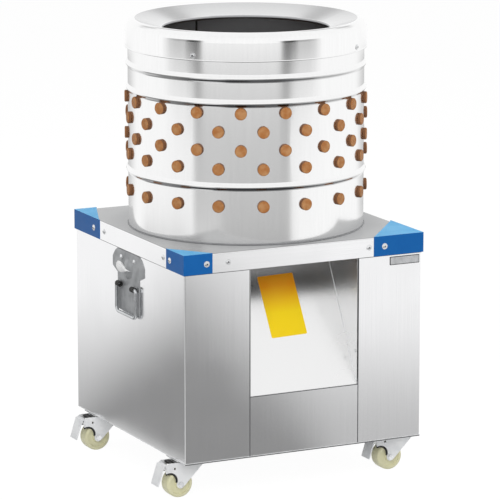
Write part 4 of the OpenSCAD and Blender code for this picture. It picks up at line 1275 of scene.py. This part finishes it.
@dataclass
class Cabinet:
    """Folded stainless cabinet on its tube frame, with the feather chute.

    Attributes:
        BEAD_STEPS: Straight steps along a weld bead of the chute.
        BEAD_POINTS: Points round that bead.
        RECESS_TURN: Degrees that a screw's recess is turned from the one before it.
        WASHER_BEVEL: Share of a washer's height that its bevel takes.
        HEM_POINTS: Points round the hem.
        HEM_PROUD: Share of the hem's radius that stands out from the panels.
        SEAM_SHADOW_PROUD: Share of a painted shadow strip's width that it stands out.
        patch: Vinyl patch on the chute's slope.
        patch_place_mm: Its middle, across the chute and over the floor.
        patch_turn: Degrees that it is turned.
        plate: Blank plate on the right front strip.
        plate_place_mm: Its middle, across and over the floor.
        plate_border_mm: Width of the dark edge round the plate's face.
        plate_face_mm: Thickness of that face.
        wall_rivet: Rivet on the right wall of the chute.
        wall_rivets_mm: Those rivets: back from the chute's front edge, over the floor.
        panel_screw: Screw of the rear panel.
        panel_screw_in_mm: Rear screws in from the edges of the rear panel.
        panel_screw_rows: Rear screws up each side.
        recess: One bar of the cross recess in a screw, drawn as a dark bar of painted shade on the head.
        washer_mm: Radius and height of the washer under a screw.
        corner_bead_mm: Radius of the weld beads where the chute's slope meets its walls.
        bead_gap_mm: Length that is left without a bead at each end.
        seam_shadow_mm: Width of a dark strip of painted shadow beside a sheet.
        hem_mm: Radius of the rounded hem along the lower edges.
    """

    BEAD_STEPS: ClassVar[int] = 12
    BEAD_POINTS: ClassVar[int] = 8
    RECESS_TURN: ClassVar[int] = 37
    WASHER_BEVEL: ClassVar[float] = 0.4
    HEM_POINTS: ClassVar[int] = 12
    HEM_PROUD: ClassVar[float] = 0.6
    SEAM_SHADOW_PROUD: ClassVar[float] = 0.35

    patch: Plate = Plate(83.0, 134.0, 3.0, 0.3)
    patch_place_mm: Pair = (-7.3, 373.1)
    patch_turn: float = 1.5
    plate: Plate = Plate(70.0, 18.0, 1.5, 0.8)
    plate_place_mm: Pair = (234.0, 464.5)
    plate_border_mm: float = 1.6
    plate_face_mm: float = 0.4
    wall_rivet: Fastener = Fastener(Head.RIVET, 3.4, 2.0)
    wall_rivets_mm: tuple[Pair, ...] = ((13.0, 410.0), (7.0, 279.0))
    panel_screw: Fastener = Fastener(Head.SOCKET, 4.2, 2.4)
    panel_screw_in_mm: float = 14.0
    panel_screw_rows: int = 4
    recess: Plate = Plate(4.4, 1.3, 0.5, 0.12)
    washer_mm: Pair = (6.3, 0.8)
    corner_bead_mm: float = 1.0
    bead_gap_mm: float = 5.0
    seam_shadow_mm: float = 1.5
    hem_mm: float = 1.0

    def build(self) -> None:
        """Makes the patch, the blank plate, the screws, the dark strips of painted shadow along the seams,
        the hem and the weld beads.
        """
        self.stick_patch()
        self.fix_plate()
        self.drive_screws()
        self.finish_screws()
        self.draw_seam_shadows()
        self.hem_edges()
        self.weld_chute()

    def stick_patch(self) -> None:
        """Lays the vinyl patch on the chute's slope."""
        across, over = (value * MM for value in self.patch_place_mm)
        seat, facing = meet("chute", (across, CAD_BOX[0][1], over), (0.0, 1.0, 0.0))
        tilt = math.atan2(-facing.y, facing.z)
        place = Matrix.Translation(seat) @ Matrix.Rotation(tilt, 4, "X")
        shape = bmesh.new()
        self.patch.add(shape, place @ Matrix.Rotation(math.radians(self.patch_turn), 4, "Z"))
        add_piece("chute_patch", shape, YELLOW_VINYL, "cabinet")

    def fix_plate(self) -> None:
        """Fixes the blank plate, a pale face on a dark edge, to the right front strip."""
        front = corners_of("right_panel")[0].y
        across, over = (value * MM for value in self.plate_place_mm)
        place = Matrix.Translation((across, front, over)) @ Matrix.Rotation(math.radians(90), 4, "X")
        shape = bmesh.new()
        self.plate.add(shape, place)
        add_piece("blank_plate_edge", shape, PLATE_EDGE, "cabinet")
        border = 2 * self.plate_border_mm
        face = Plate(self.plate.width_mm - border, self.plate.height_mm - border, self.plate.corner_mm,
                     self.plate_face_mm)
        shape = bmesh.new()
        face.add(shape, place @ Matrix.Translation((0.0, 0.0, self.plate.thick_mm * MM)))
        add_piece("blank_plate_face", shape, PLATE_FACE, "cabinet")

    def drive_screws(self) -> None:
        """Sets the rivets of the chute's wall and drives the screws of the rear panel."""
        front = corners_of("chute")[0].y
        places = [meet("chute", (0.0, front + back * MM, over * MM), (1.0, 0.0, 0.0))[0]
                  for back, over in self.wall_rivets_mm]
        add_fasteners("chute_wall_rivets", self.wall_rivet, places, (-1.0, 0.0, 0.0))
        low, high = corners_of("back_panel")
        gap = self.panel_screw_in_mm * MM
        foot, top = low.z + 2 * gap, corners_of("top_plate")[0].z - gap
        steps = self.panel_screw_rows - 1
        rows = [foot + (top - foot) * i / steps for i in range(self.panel_screw_rows)]
        places = [Vector((x, high.y, z)) for x in (low.x + gap, high.x - gap) for z in rows]
        add_fasteners("rear_panel_screws", self.panel_screw, places, (0.0, 1.0, 0.0))

    def finish_screws(self) -> None:
        """Gives the screws of the apron, the guards and the rim a washer and a cross recess drawn as dark
        bars of painted shade.
        """
        top = corners_of("top_plate")[1].z
        radius, height = self.washer_mm
        bevel = self.WASHER_BEVEL * height
        washers, recesses = bmesh.new(), bmesh.new()
        for number, points in enumerate(solids_of("panel_screws")):
            low, high = (Vector([pick(point[i] for point in points) for i in range(3)])
                         for pick in (min, max))
            middle, size = (low + high) / 2, high - low
            if middle.z > top:
                way = Vector((middle.x, middle.y, 0.0)).normalized()
            else:
                axis = 0 if size.x < size.y else 1
                way = Vector((0.0, 0.0, 0.0))
                way[axis] = math.copysign(1.0, middle[axis])
            reach = [point.dot(way) - middle.dot(way) for point in points]
            turn = way.to_track_quat("Z", "Y").to_matrix().to_4x4()
            seat = Matrix.Translation(middle + way * min(reach)) @ turn
            face = Matrix.Translation(middle + way * max(reach)) @ turn
            loft(washers, [circle(seat, radius, 0.0), circle(seat, radius, height - bevel),
                           circle(seat, radius - bevel, height)])
            for angle in (self.RECESS_TURN * number, self.RECESS_TURN * number + 90):
                self.recess.add(recesses, face @ Matrix.Rotation(math.radians(angle), 4, "Z"))
        add_piece("screw_washers", washers, SCREW_STEEL, "cabinet")
        # Painted shade: dark bars stand in for the shaded cross recesses
        add_piece("screw_recess_shades", recesses, RECESS_SHADE, "cabinet")

    def draw_seam_shadows(self) -> None:
        """Draws dark strips of painted shadow under the apron, round the lower front panel and under the
        front edge.
        """
        under, outlet = corners_of("top_plate")[0].z, corners_of("front_panel")[1]
        low, high = corners_of("right_panel")
        foot, front, flank = low.z, low.y, high.x
        right, ahead, down = Vector((1.0, 0.0, 0.0)), Vector((0.0, -1.0, 0.0)), Vector((0.0, 0.0, -1.0))
        shape = bmesh.new()
        for side in (-1, 1):
            face, edge = side * flank, side * outlet.x
            self.run_seam_shadow(shape, (face, front, under), (face, -front, under), side * right, down)
            self.run_seam_shadow(shape, (edge, front, under), (face, front, under), ahead, down)
            self.run_seam_shadow(shape, (edge, front, foot), (edge, front, under), ahead, side * right)
        self.run_seam_shadow(shape, (-outlet.x, front, outlet.z), (outlet.x, front, outlet.z), ahead, down)
        self.run_seam_shadow(shape, (-flank, front, foot), (flank, front, foot), ahead, down)
        # Painted shadow: dark strips along the seams and the lower front edge
        add_piece("panel_seam_shadows", shape, SEAM_SHADOW_STRIP, "cabinet")

    def run_seam_shadow(self, shape: BMesh, first: Sequence[float], last: Sequence[float], out: Vector,
                    beside: Vector) -> None:
        """Adds one straight dark strip of painted shadow.

        Args:
            shape: Mesh that receives it.
            first: Where it starts, in metres.
            last: Where it ends, in metres.
            out: Direction that the sheet faces.
            beside: Direction that the bead's width goes in.
        """
        wide, proud = beside * self.seam_shadow_mm * MM, out * self.seam_shadow_mm * self.SEAM_SHADOW_PROUD * MM
        loft(shape, [[Vector(end), Vector(end) + proud, Vector(end) + proud + wide, Vector(end) + wide]
                     for end in (first, last)])

    def hem_edges(self) -> None:
        """Rounds the lower edges of the panels with a bright hem."""
        low, high = corners_of("right_panel")
        flank, front, radius = high.x, low.y, self.hem_mm * MM
        turns = [math.tau * i / self.HEM_POINTS for i in range(self.HEM_POINTS)]
        rings = []
        for x, y in ((-flank, front), (flank, front), (flank, -front), (-flank, -front)):
            middle = Vector((x, y, low.z + radius))
            out = Vector((math.copysign(1.0, x), math.copysign(1.0, y), 0.0))
            rings.append([middle + out * (radius * self.HEM_PROUD * math.cos(turn))
                          + Vector((0.0, 0.0, radius * math.sin(turn))) for turn in turns])
        shape = bmesh.new()
        loft(shape, rings, closed=True)
        add_piece("lower_hem", shape, SCREW_STEEL, "cabinet")

    def weld_chute(self) -> None:
        """Runs a weld bead along both corners between the chute's slope and its walls."""
        foot, top = corners_of("front_panel")[1].z, corners_of("top_plate")[0].z
        front = corners_of("right_panel")[0].y
        gap, reach = self.bead_gap_mm * MM, self.corner_bead_mm * MM
        turns = [math.tau * i / self.BEAD_POINTS for i in range(self.BEAD_POINTS)]
        shape = bmesh.new()
        for side in (-1, 1):
            wall, _ = meet("chute", (0.0, front + gap, (foot + top) / 2), (side, 0.0, 0.0))
            rings = []
            for i in range(self.BEAD_STEPS + 1):
                level = foot + gap + (top - foot - 2 * gap) * i / self.BEAD_STEPS
                start = (wall.x - side * 2 * reach, front - gap, level)
                corner, facing = meet("chute", start, (0.0, 1.0, 0.0))
                corner.x = wall.x
                rings.append([corner + Vector((reach * math.cos(turn), 0.0, 0.0))
                              + facing * (reach * math.sin(turn)) for turn in turns])
            loft(shape, rings)
        # Painted highlight: the beads take the near-white, barely mirroring zinc finish and show as bright
        # lines along the corners
        add_piece("chute_corner_welds", shape, CASTOR_ZINC, "cabinet")

    def dress(self) -> None:
        """Gives the sheets, frame, guards and screws their finishes."""
        guards = [f"{corner.value}_guard" for corner in Corner]
        paint(PANEL_SHEET, ("left_panel", "right_panel", "front_panel", "back_panel"))
        paint(CHUTE_SHEET, ("chute",))
        paint(TOP_SHEET, ("top_plate",))
        paint(FRAME_TUBE, ("base_frame", "bearing_bridge", "motor_plate"))
        paint(GUARD_FILM, guards)
        paint(SCREW_STEEL, ("panel_screws",))
        # The buffed drum shows no blue, so the guards stay out of its mirror
        for guard in guards:
            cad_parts[guard].visible_glossy = False


@dataclass
class Drum:
    """Buffed drum with its rubber fingers and its welded seam.

    Attributes:
        RIPPLE_STEPS: Rings of the weld bead in one ripple.
        BEAD_POINTS: Points round the bead.
        BEAD_FORM: Half the bead's width and height, in radii.
        FILLET_FORM: Corners of the fillet's section, out from the wall and up from the deck, in widths.
        FILLET_POINTS: Points round the drum's foot.
        seam_side: Direction of the seam in degrees, counted from +X towards +Y.
        bead_mm: Radius of the weld bead.
        ripple_mm: Length of one weld ripple.
        ripple_share: How much the bead swells in a ripple.
        end_gap_mm: Length that is left without a bead at each end of the wall.
        fillet_mm: Width of the grey fillet of painted shade round the drum's foot.
    """

    RIPPLE_STEPS: ClassVar[int] = 4
    BEAD_POINTS: ClassVar[int] = 10
    BEAD_FORM: ClassVar[Pair] = (1.5, 0.5)
    FILLET_FORM: ClassVar[tuple[Pair, ...]] = ((-0.1, 0.0), (1.0, 0.0), (0.4, 0.4), (-0.1, 1.0))
    FILLET_POINTS: ClassVar[int] = 128

    seam_side: float = 89.5
    bead_mm: float = 1.6
    ripple_mm: float = 4.0
    ripple_share: float = 0.1
    end_gap_mm: float = 8.0
    fillet_mm: float = 2.4

    def build(self) -> None:
        """Makes the weld bead of the wall's seam and the grey fillet of painted shade round its foot."""
        self.weld_seam()
        self.draw_foot_shadow()

    def weld_seam(self) -> None:
        """Runs the rippled weld bead up the seam, on the inside of the wall."""
        low, high = corners_of("drum_shell")
        angle = math.radians(self.seam_side)
        out = Vector((math.cos(angle), math.sin(angle), 0.0))
        along = Vector((-out.y, out.x, 0.0))
        step, gap = self.ripple_mm * MM / self.RIPPLE_STEPS, self.end_gap_mm * MM
        wide, tall = self.BEAD_FORM
        turns = [math.tau * i / self.BEAD_POINTS for i in range(self.BEAD_POINTS)]
        shape, rings, level = bmesh.new(), [], low.z + gap
        while level < high.z - gap:
            wall, _ = meet("drum_shell", (0.0, 0.0, level), out)
            ripple = 1 + self.ripple_share * math.cos(math.tau * len(rings) / self.RIPPLE_STEPS)
            reach = self.bead_mm * MM * ripple
            rings.append([wall + along * (reach * wide * math.cos(turn))
                          - out * (reach * tall * math.sin(turn)) for turn in turns])
            level += step
        loft(shape, rings)
        add_piece("drum_seam_weld", shape, WELD_METAL, "cabinet")

    def draw_foot_shadow(self) -> None:
        """Lays a grey fillet of painted shade round the drum's foot, on the deck, which stands in for its
        contact shadow.
        """
        deck = corners_of("top_plate")[1].z
        wide = self.fillet_mm
        wall, _ = meet("drum_shell", (1.0, 0.0, deck + wide * MM), (-1.0, 0.0, 0.0))
        place = Matrix.Translation((0.0, 0.0, deck))
        shape = bmesh.new()
        loft(shape, [circle(place, wall.x / MM + out * wide, up * wide, self.FILLET_POINTS)
                     for out, up in self.FILLET_FORM], closed=True)
        # Painted shade: a grey fillet stands in for the contact shadow at the drum's foot
        add_piece("drum_foot_shadow_fillet", shape, FOOT_SHADOW_FILLET, "cabinet")

    def dress(self) -> None:
        """Gives the drum and its fingers their finishes."""
        paint(DRUM_SHEET, ("drum_shell",))
        paint(RIM_SHEET, ("drum_rim",))
        paint(FINGER_RUBBER, ("wall_fingers", "plate_fingers"))


@dataclass
class Drive:
    """Feather plate, shaft, belt and motor.

    Attributes:
        bolt: Bolt of the bearings and of the motor.
        bearing_bolt_in_mm: Bolts in from the edges of a bearing's flange.
        bearing_flange_mm: Thickness of that flange.
        motor_bolt_mm: Distance of the motor's bolts from its shaft.
    """

    bolt: Fastener = Fastener(Head.HEXAGON, 5.8, 6.0)
    bearing_bolt_in_mm: float = 10.0
    bearing_flange_mm: float = 10.0
    motor_bolt_mm: float = 48.0

    def build(self) -> None:
        """Makes the bolts of the bearings and of the motor."""
        flange = self.bearing_flange_mm * MM
        for bearing, way in (("upper_bearing", -1.0), ("lower_bearing", 1.0)):
            low, high = corners_of(bearing)
            level = low.z + flange if way > 0 else high.z - flange
            places = inset_corners(low, high, self.bearing_bolt_in_mm, AXIS_Z, level)
            add_fasteners(f"{bearing}_bolts", self.bolt, places, (0.0, 0.0, way))
        low, high = corners_of("motor_shaft")
        middle = (low + high) / 2
        reach = self.motor_bolt_mm * MM / math.sqrt(2)
        top = corners_of("motor_plate")[1].z
        places = [Vector((middle.x + x * reach, middle.y + y * reach, top)) for x in (-1, 1) for y in (-1, 1)]
        add_fasteners("motor_bolts", self.bolt, places, (0.0, 0.0, 1.0))

    def dress(self) -> None:
        """Gives the turning and driving pieces their finishes."""
        paint(PLATE_SHEET, ("feather_plate",))
        paint(BLACK_RUBBER, ("sweeper_paddles",))
        paint(TURNED_STEEL, ("plate_hub", "plate_nut", "drive_shaft", "motor_shaft"))
        paint(CAST_IRON, ("upper_bearing", "lower_bearing"))
        paint(PULLEY_IRON, ("driven_pulley", "motor_pulley"))
        paint(BELT_RUBBER, ("drive_belt",))
        paint(MOTOR_ENAMEL, ("motor_body", "motor_fan_cover", "motor_terminal_box"))


@dataclass
class Controls:
    """Switch box with its two buttons and the cord gland.

    Attributes:
        screw: Screw of the bezel.
        screw_in_mm: Screws in from the edges of the bezel.
        bar: Upright bar on the start button.
        ring_mm: Inner and outer radius of the ring on the stop button.
        ring_points: Points round that ring.
        mark_mm: Thickness of the ring.
    """

    screw: Fastener = Fastener(Head.SOCKET, 3.0, 1.8)
    screw_in_mm: float = 7.0
    bar: Plate = Plate(2.0, 10.0, 0.9, 0.3)
    ring_mm: Pair = (3.7, 5.5)
    ring_points: int = 40
    mark_mm: float = 0.3

    def build(self) -> None:
        """Makes the bezel's screws and the plain bar and ring on the buttons."""
        low, high = corners_of("switch_box")
        places = inset_corners(low, high, self.screw_in_mm, AXIS_Y, high.y)
        add_fasteners("bezel_screws", self.screw, places, (0.0, 1.0, 0.0))
        bar = bmesh.new()
        self.bar.add(bar, self.cap_face("start_button"))
        add_piece("start_mark", bar, WHITE_ABS, "start_cap")
        ring = bmesh.new()
        add_tube(ring, self.cap_face("stop_button"), self.ring_mm, (0.0, self.mark_mm), self.ring_points)
        add_piece("stop_mark", ring, WHITE_ABS, "stop_cap")

    def cap_face(self, button: str) -> Matrix:
        """Finds the outer face of a button.

        Args:
            button: Name of the button's node.

        Returns:
            Matrix whose origin is the middle of the face, with its Z out of it.
        """
        low, high = corners_of(button)
        middle = Matrix.Translation(((low.x + high.x) / 2, high.y, (low.z + high.z) / 2))
        return middle @ Matrix.Rotation(math.radians(-90), 4, "X")

    def dress(self) -> None:
        """Gives the moulded pieces their finishes."""
        paint(SWITCH_ABS, ("switch_box", "cable_gland"))
        paint(GREEN_CAP, ("start_button",))
        paint(RED_CAP, ("stop_button",))


@dataclass
class Handle:
    """One carrying handle.

    Attributes:
        FACE_DROP_MM: How far below the plate's top its face is flat.
        CONTOURS: Sizes of the tongue's contours from its seat to its peak, where 1 is the seat.
        CONTOUR_POINTS: Points round a contour.
        PEAK_BACK: Share of the tongue's length that its peak lies behind its middle.
        FULLNESS: Factor that makes the drop as wide as its width says.
        TAPER: How sharply the drop runs out to its tail.
        side: Side of the cabinet that it is on.
        rivet: Polished cap over each rivet of the plate.
        rivet_mm: Rivets from the middle of the plate, and below its top.
        tongue_mm: Length, width and height of the tongue that is pressed out of the plate, near white as a
            painted highlight.
        tongue_place_mm: Its middle, towards the back of the cabinet and below the plate's top.
        sleeve_mm: Length of the black rubber sleeve of painted shade on a pivot, its gap to the leg, to the
            wire, and its thickness.
    """

    FACE_DROP_MM: ClassVar[float] = 2.0
    CONTOURS: ClassVar[tuple[float, ...]] = (1.0, 0.86, 0.62, 0.34, 0.08)
    CONTOUR_POINTS: ClassVar[int] = 40
    PEAK_BACK: ClassVar[float] = 0.15
    FULLNESS: ClassVar[float] = 0.815
    TAPER: ClassVar[float] = 1.2

    side: Side
    rivet: Fastener = Fastener(Head.RIVET, 5.2, 3.2)
    rivet_mm: Pair = (32.5, 15.0)
    tongue_mm: Triple = (80.0, 23.0, 4.0)
    tongue_place_mm: Pair = (22.0, 38.0)
    sleeve_mm: Four = (15.0, 1.2, 0.5, 1.9)

    def build(self) -> None:
        """Caps the rivets of the plate, presses its tongue as a near-white painted highlight and puts black
        sleeves of painted shade round the pivots of the bail.
        """
        top = corners_of(self.part("plate"))[1].z
        across, drop = (value * MM for value in self.rivet_mm)
        face = self.meet_plate(0.0, top - self.FACE_DROP_MM * MM)
        places = [Vector((face.x, end * across, top - drop)) for end in (-1, 1)]
        add_fasteners(self.part("rivets"), self.rivet, places, (self.out, 0.0, 0.0))
        shape = bmesh.new()
        loft(shape, [self.tongue_ring(top, share) for share in self.CONTOURS])
        # Painted highlight: the tongue is near white
        add_piece(self.part("tongue"), shape, HANDLE_HIGHLIGHT, "cabinet")
        self.sleeve_pivots()

    @property
    def out(self) -> float:
        """Direction of the handle's side along X, -1 or 1."""
        return -1.0 if self.side is Side.LEFT else 1.0

    def part(self, name: str) -> str:
        """Names one of the handle's nodes or pieces."""
        return f"{self.side.value}_handle_{name}"

    def meet_plate(self, along: float, level: float) -> Vector:
        """Finds the outside of the plate at a place towards the back and a height, all in metres."""
        return meet(self.part("plate"), (self.out, along, level), (-self.out, 0.0, 0.0))[0]

    def tongue_ring(self, top: float, share: float) -> list[Vector]:
        """Sets points round one contour of the tongue, a drop on the plate with its tail to the front.

        Args:
            top: Height of the plate's top, in metres.
            share: Size of the contour, where 1 is the seat.

        Returns:
            The points, in metres.
        """
        length, width, height = (value * MM for value in self.tongue_mm)
        back, drop = (value * MM for value in self.tongue_place_mm)
        middle, lift = length * self.PEAK_BACK, height * math.sqrt(1 - share * share)
        ring = []
        for i in range(self.CONTOUR_POINTS):
            turn = math.tau * i / self.CONTOUR_POINTS
            along = -length / 2 * math.cos(turn)
            across = self.FULLNESS * width * math.sin(turn) * ((1 - math.cos(turn)) / 2) ** self.TAPER
            seat = self.meet_plate(back + middle + share * (along - middle), top - drop + share * across)
            ring.append(seat + Vector((self.out * lift, 0.0, 0.0)))
        return ring

    def sleeve_pivots(self) -> None:
        """Puts a black rubber sleeve round both pivots of the bail, painted shade that darkens the gaps at
        the pivots.
        """
        low, high = corners_of(self.part("bail"))
        wire = (high.x - low.x) / 2 / MM
        length, beside, inside, thick = self.sleeve_mm
        far = (high.y - low.y) / 2 / MM - 2 * wire - beside
        pivot = Matrix.Translation(((low.x + high.x) / 2, (low.y + high.y) / 2, high.z - wire * MM))
        hole = wire + inside
        shape = bmesh.new()
        for turn in (-90, 90):
            place = pivot @ Matrix.Rotation(math.radians(turn), 4, "X")
            add_tube(shape, place, (hole, hole + thick), (far - length, far))
        # Painted shade: black sleeves darken the pivots
        add_piece(self.part("pivot_shade_sleeves"), shape, BLACK_RUBBER, "cabinet")

    def dress(self) -> None:
        """Gives the plate and its wire bail their finishes."""
        paint(HANDLE_PLATE, (self.part("plate"),))
        paint(CHROME_WIRE, (self.part("bail"),))


@dataclass
class Castor:
    """One braked castor.

    Attributes:
        LIP_STEPS: Straight steps along a rubber lip.
        LIP_OVERLAP: Share of the lip's width that lies on the cheek, past its scooped edge.
        corner: Corner of the cabinet that it carries.
        bolt: Bolt that holds its top plate.
        bolt_in_mm: Bolts in from the edges of the plate.
        plate_mm: Thickness of the plate.
        seal_mm: Inner and outer radius of the black ring of painted shade over the fork, and its gap to the
            fork.
        cheek_mm: Thickness of a cheek of the fork.
        scoop_mm: Middle of the scooped edge of a cheek behind and over the axle, and its radius.
        lip_mm: Width of the black rubber lip of painted shade along that edge, and its thickness.
        lip_ends: Degrees where the lip starts and ends, counted from the front upwards.
        shade_block_mm: Where the black block of painted shade between the cheeks starts and ends, from their
            back, its drop below the crown and its height.
    """

    LIP_STEPS: ClassVar[int] = 24
    LIP_OVERLAP: ClassVar[float] = 1 / 3

    corner: Corner
    bolt: Fastener = Fastener(Head.SOCKET, 4.6, 2.3)
    bolt_in_mm: float = 8.0
    plate_mm: float = 2.5
    seal_mm: Triple = (19.2, 26.0, 0.5)
    cheek_mm: float = 2.5
    scoop_mm: Triple = (25.0, 8.0, 19.0)
    lip_mm: Pair = (4.2, 0.5)
    lip_ends: Pair = (-14.0, 116.0)
    shade_block_mm: Four = (13.0, 23.5, 0.5, 4.5)

    def build(self) -> None:
        """Makes the four bolts under the top plate, a black ring of painted shade over the fork and the black
        rubber lips of painted shade.
        """
        low, high = corners_of(self.part("castor_plate"))
        under = high.z - self.plate_mm * MM
        places = inset_corners(low, high, self.bolt_in_mm, AXIS_Z, under)
        add_fasteners(self.part("castor_bolts"), self.bolt, places, (0.0, 0.0, -1.0))
        # Painted shade: a black ring fills the gap between the fork's crown and the top plate
        inner, outer, gap = self.seal_mm
        crown = corners_of(self.part("fork"))[1].z
        place = Matrix.Translation(((low.x + high.x) / 2, (low.y + high.y) / 2, crown))
        shape = bmesh.new()
        add_tube(shape, place, (inner, outer), (gap, (under - crown) / MM))
        add_piece(self.part("swivel_shade_ring"), shape, BLACK_RUBBER, "cabinet")
        self.shade_fork()

    def part(self, name: str) -> str:
        """Names one of the castor's nodes, pieces or bodies."""
        return f"{self.corner.value}_{name}"

    def shade_fork(self) -> None:
        """Lines the fork with black rubber lips and a black block between the cheeks, painted shade along the
        scooped edges and under the crown.
        """
        low, high = corners_of(self.part("fork"))
        axle_low, axle_high = corners_of(self.part("axle"))
        axle = (axle_low + axle_high) / 2
        back, over, radius = (value * MM for value in self.scoop_mm)
        width, thick = (value * MM for value in self.lip_mm)
        reach = (high.y - low.y) / 2 - self.cheek_mm * MM
        middle = Vector((axle.x - back, (low.y + high.y) / 2, axle.z + over))
        first, last = (math.radians(end) for end in self.lip_ends)
        inner, outer = radius - width, radius + width * self.LIP_OVERLAP
        section = ((inner, reach), (outer, reach), (outer, reach - thick), (inner, reach - thick))
        shape = bmesh.new()
        for face in (-1, 1):
            rings = []
            for i in range(self.LIP_STEPS + 1):
                turn = first + (last - first) * i / self.LIP_STEPS
                way = Vector((math.cos(turn), 0.0, math.sin(turn)))
                rings.append([middle + way * far + Vector((0.0, face * out, 0.0)) for far, out in section])
            loft(shape, rings)
        start, end, drop, height = (value * MM for value in self.shade_block_mm)
        corners = ((start, -reach), (end, -reach), (end, reach), (start, reach))
        loft(shape, [[Vector((low.x + x, middle.y + y, z)) for x, y in corners]
                     for z in (high.z - drop - height, high.z - drop)])
        # Painted shade: black lips and a black block line the fork
        add_piece(self.part("fork_shade_lips"), shape, BLACK_RUBBER, self.part("swivel"))

    def dress(self) -> None:
        """Gives the pressed steel and the nylon wheel their finishes."""
        paint(CASTOR_ZINC, [self.part(name) for name in ("castor_plate", "fork", "pedal")])
        paint(SCREW_STEEL, (self.part("axle"),))
        paint(CASTOR_NYLON, (self.part("wheel"),))


Assembly = Cabinet | Drum | Drive | Controls | Handle | Castor


def main() -> None:
    """Builds the studio and the sub-assemblies in order."""
    logging.basicConfig(level=logging.INFO, format="%(message)s")
    Studio().build()
    assemblies: list[Assembly] = [Cabinet(), Drum(), Drive(), Controls()]
    assemblies += [Handle(side) for side in Side]
    assemblies += [Castor(corner) for corner in Corner]
    for assembly in assemblies:
        assembly.build()
        assembly.dress()
        LOG.info("%s is dressed", type(assembly).__name__)


if __name__ == "__main__":
    main()
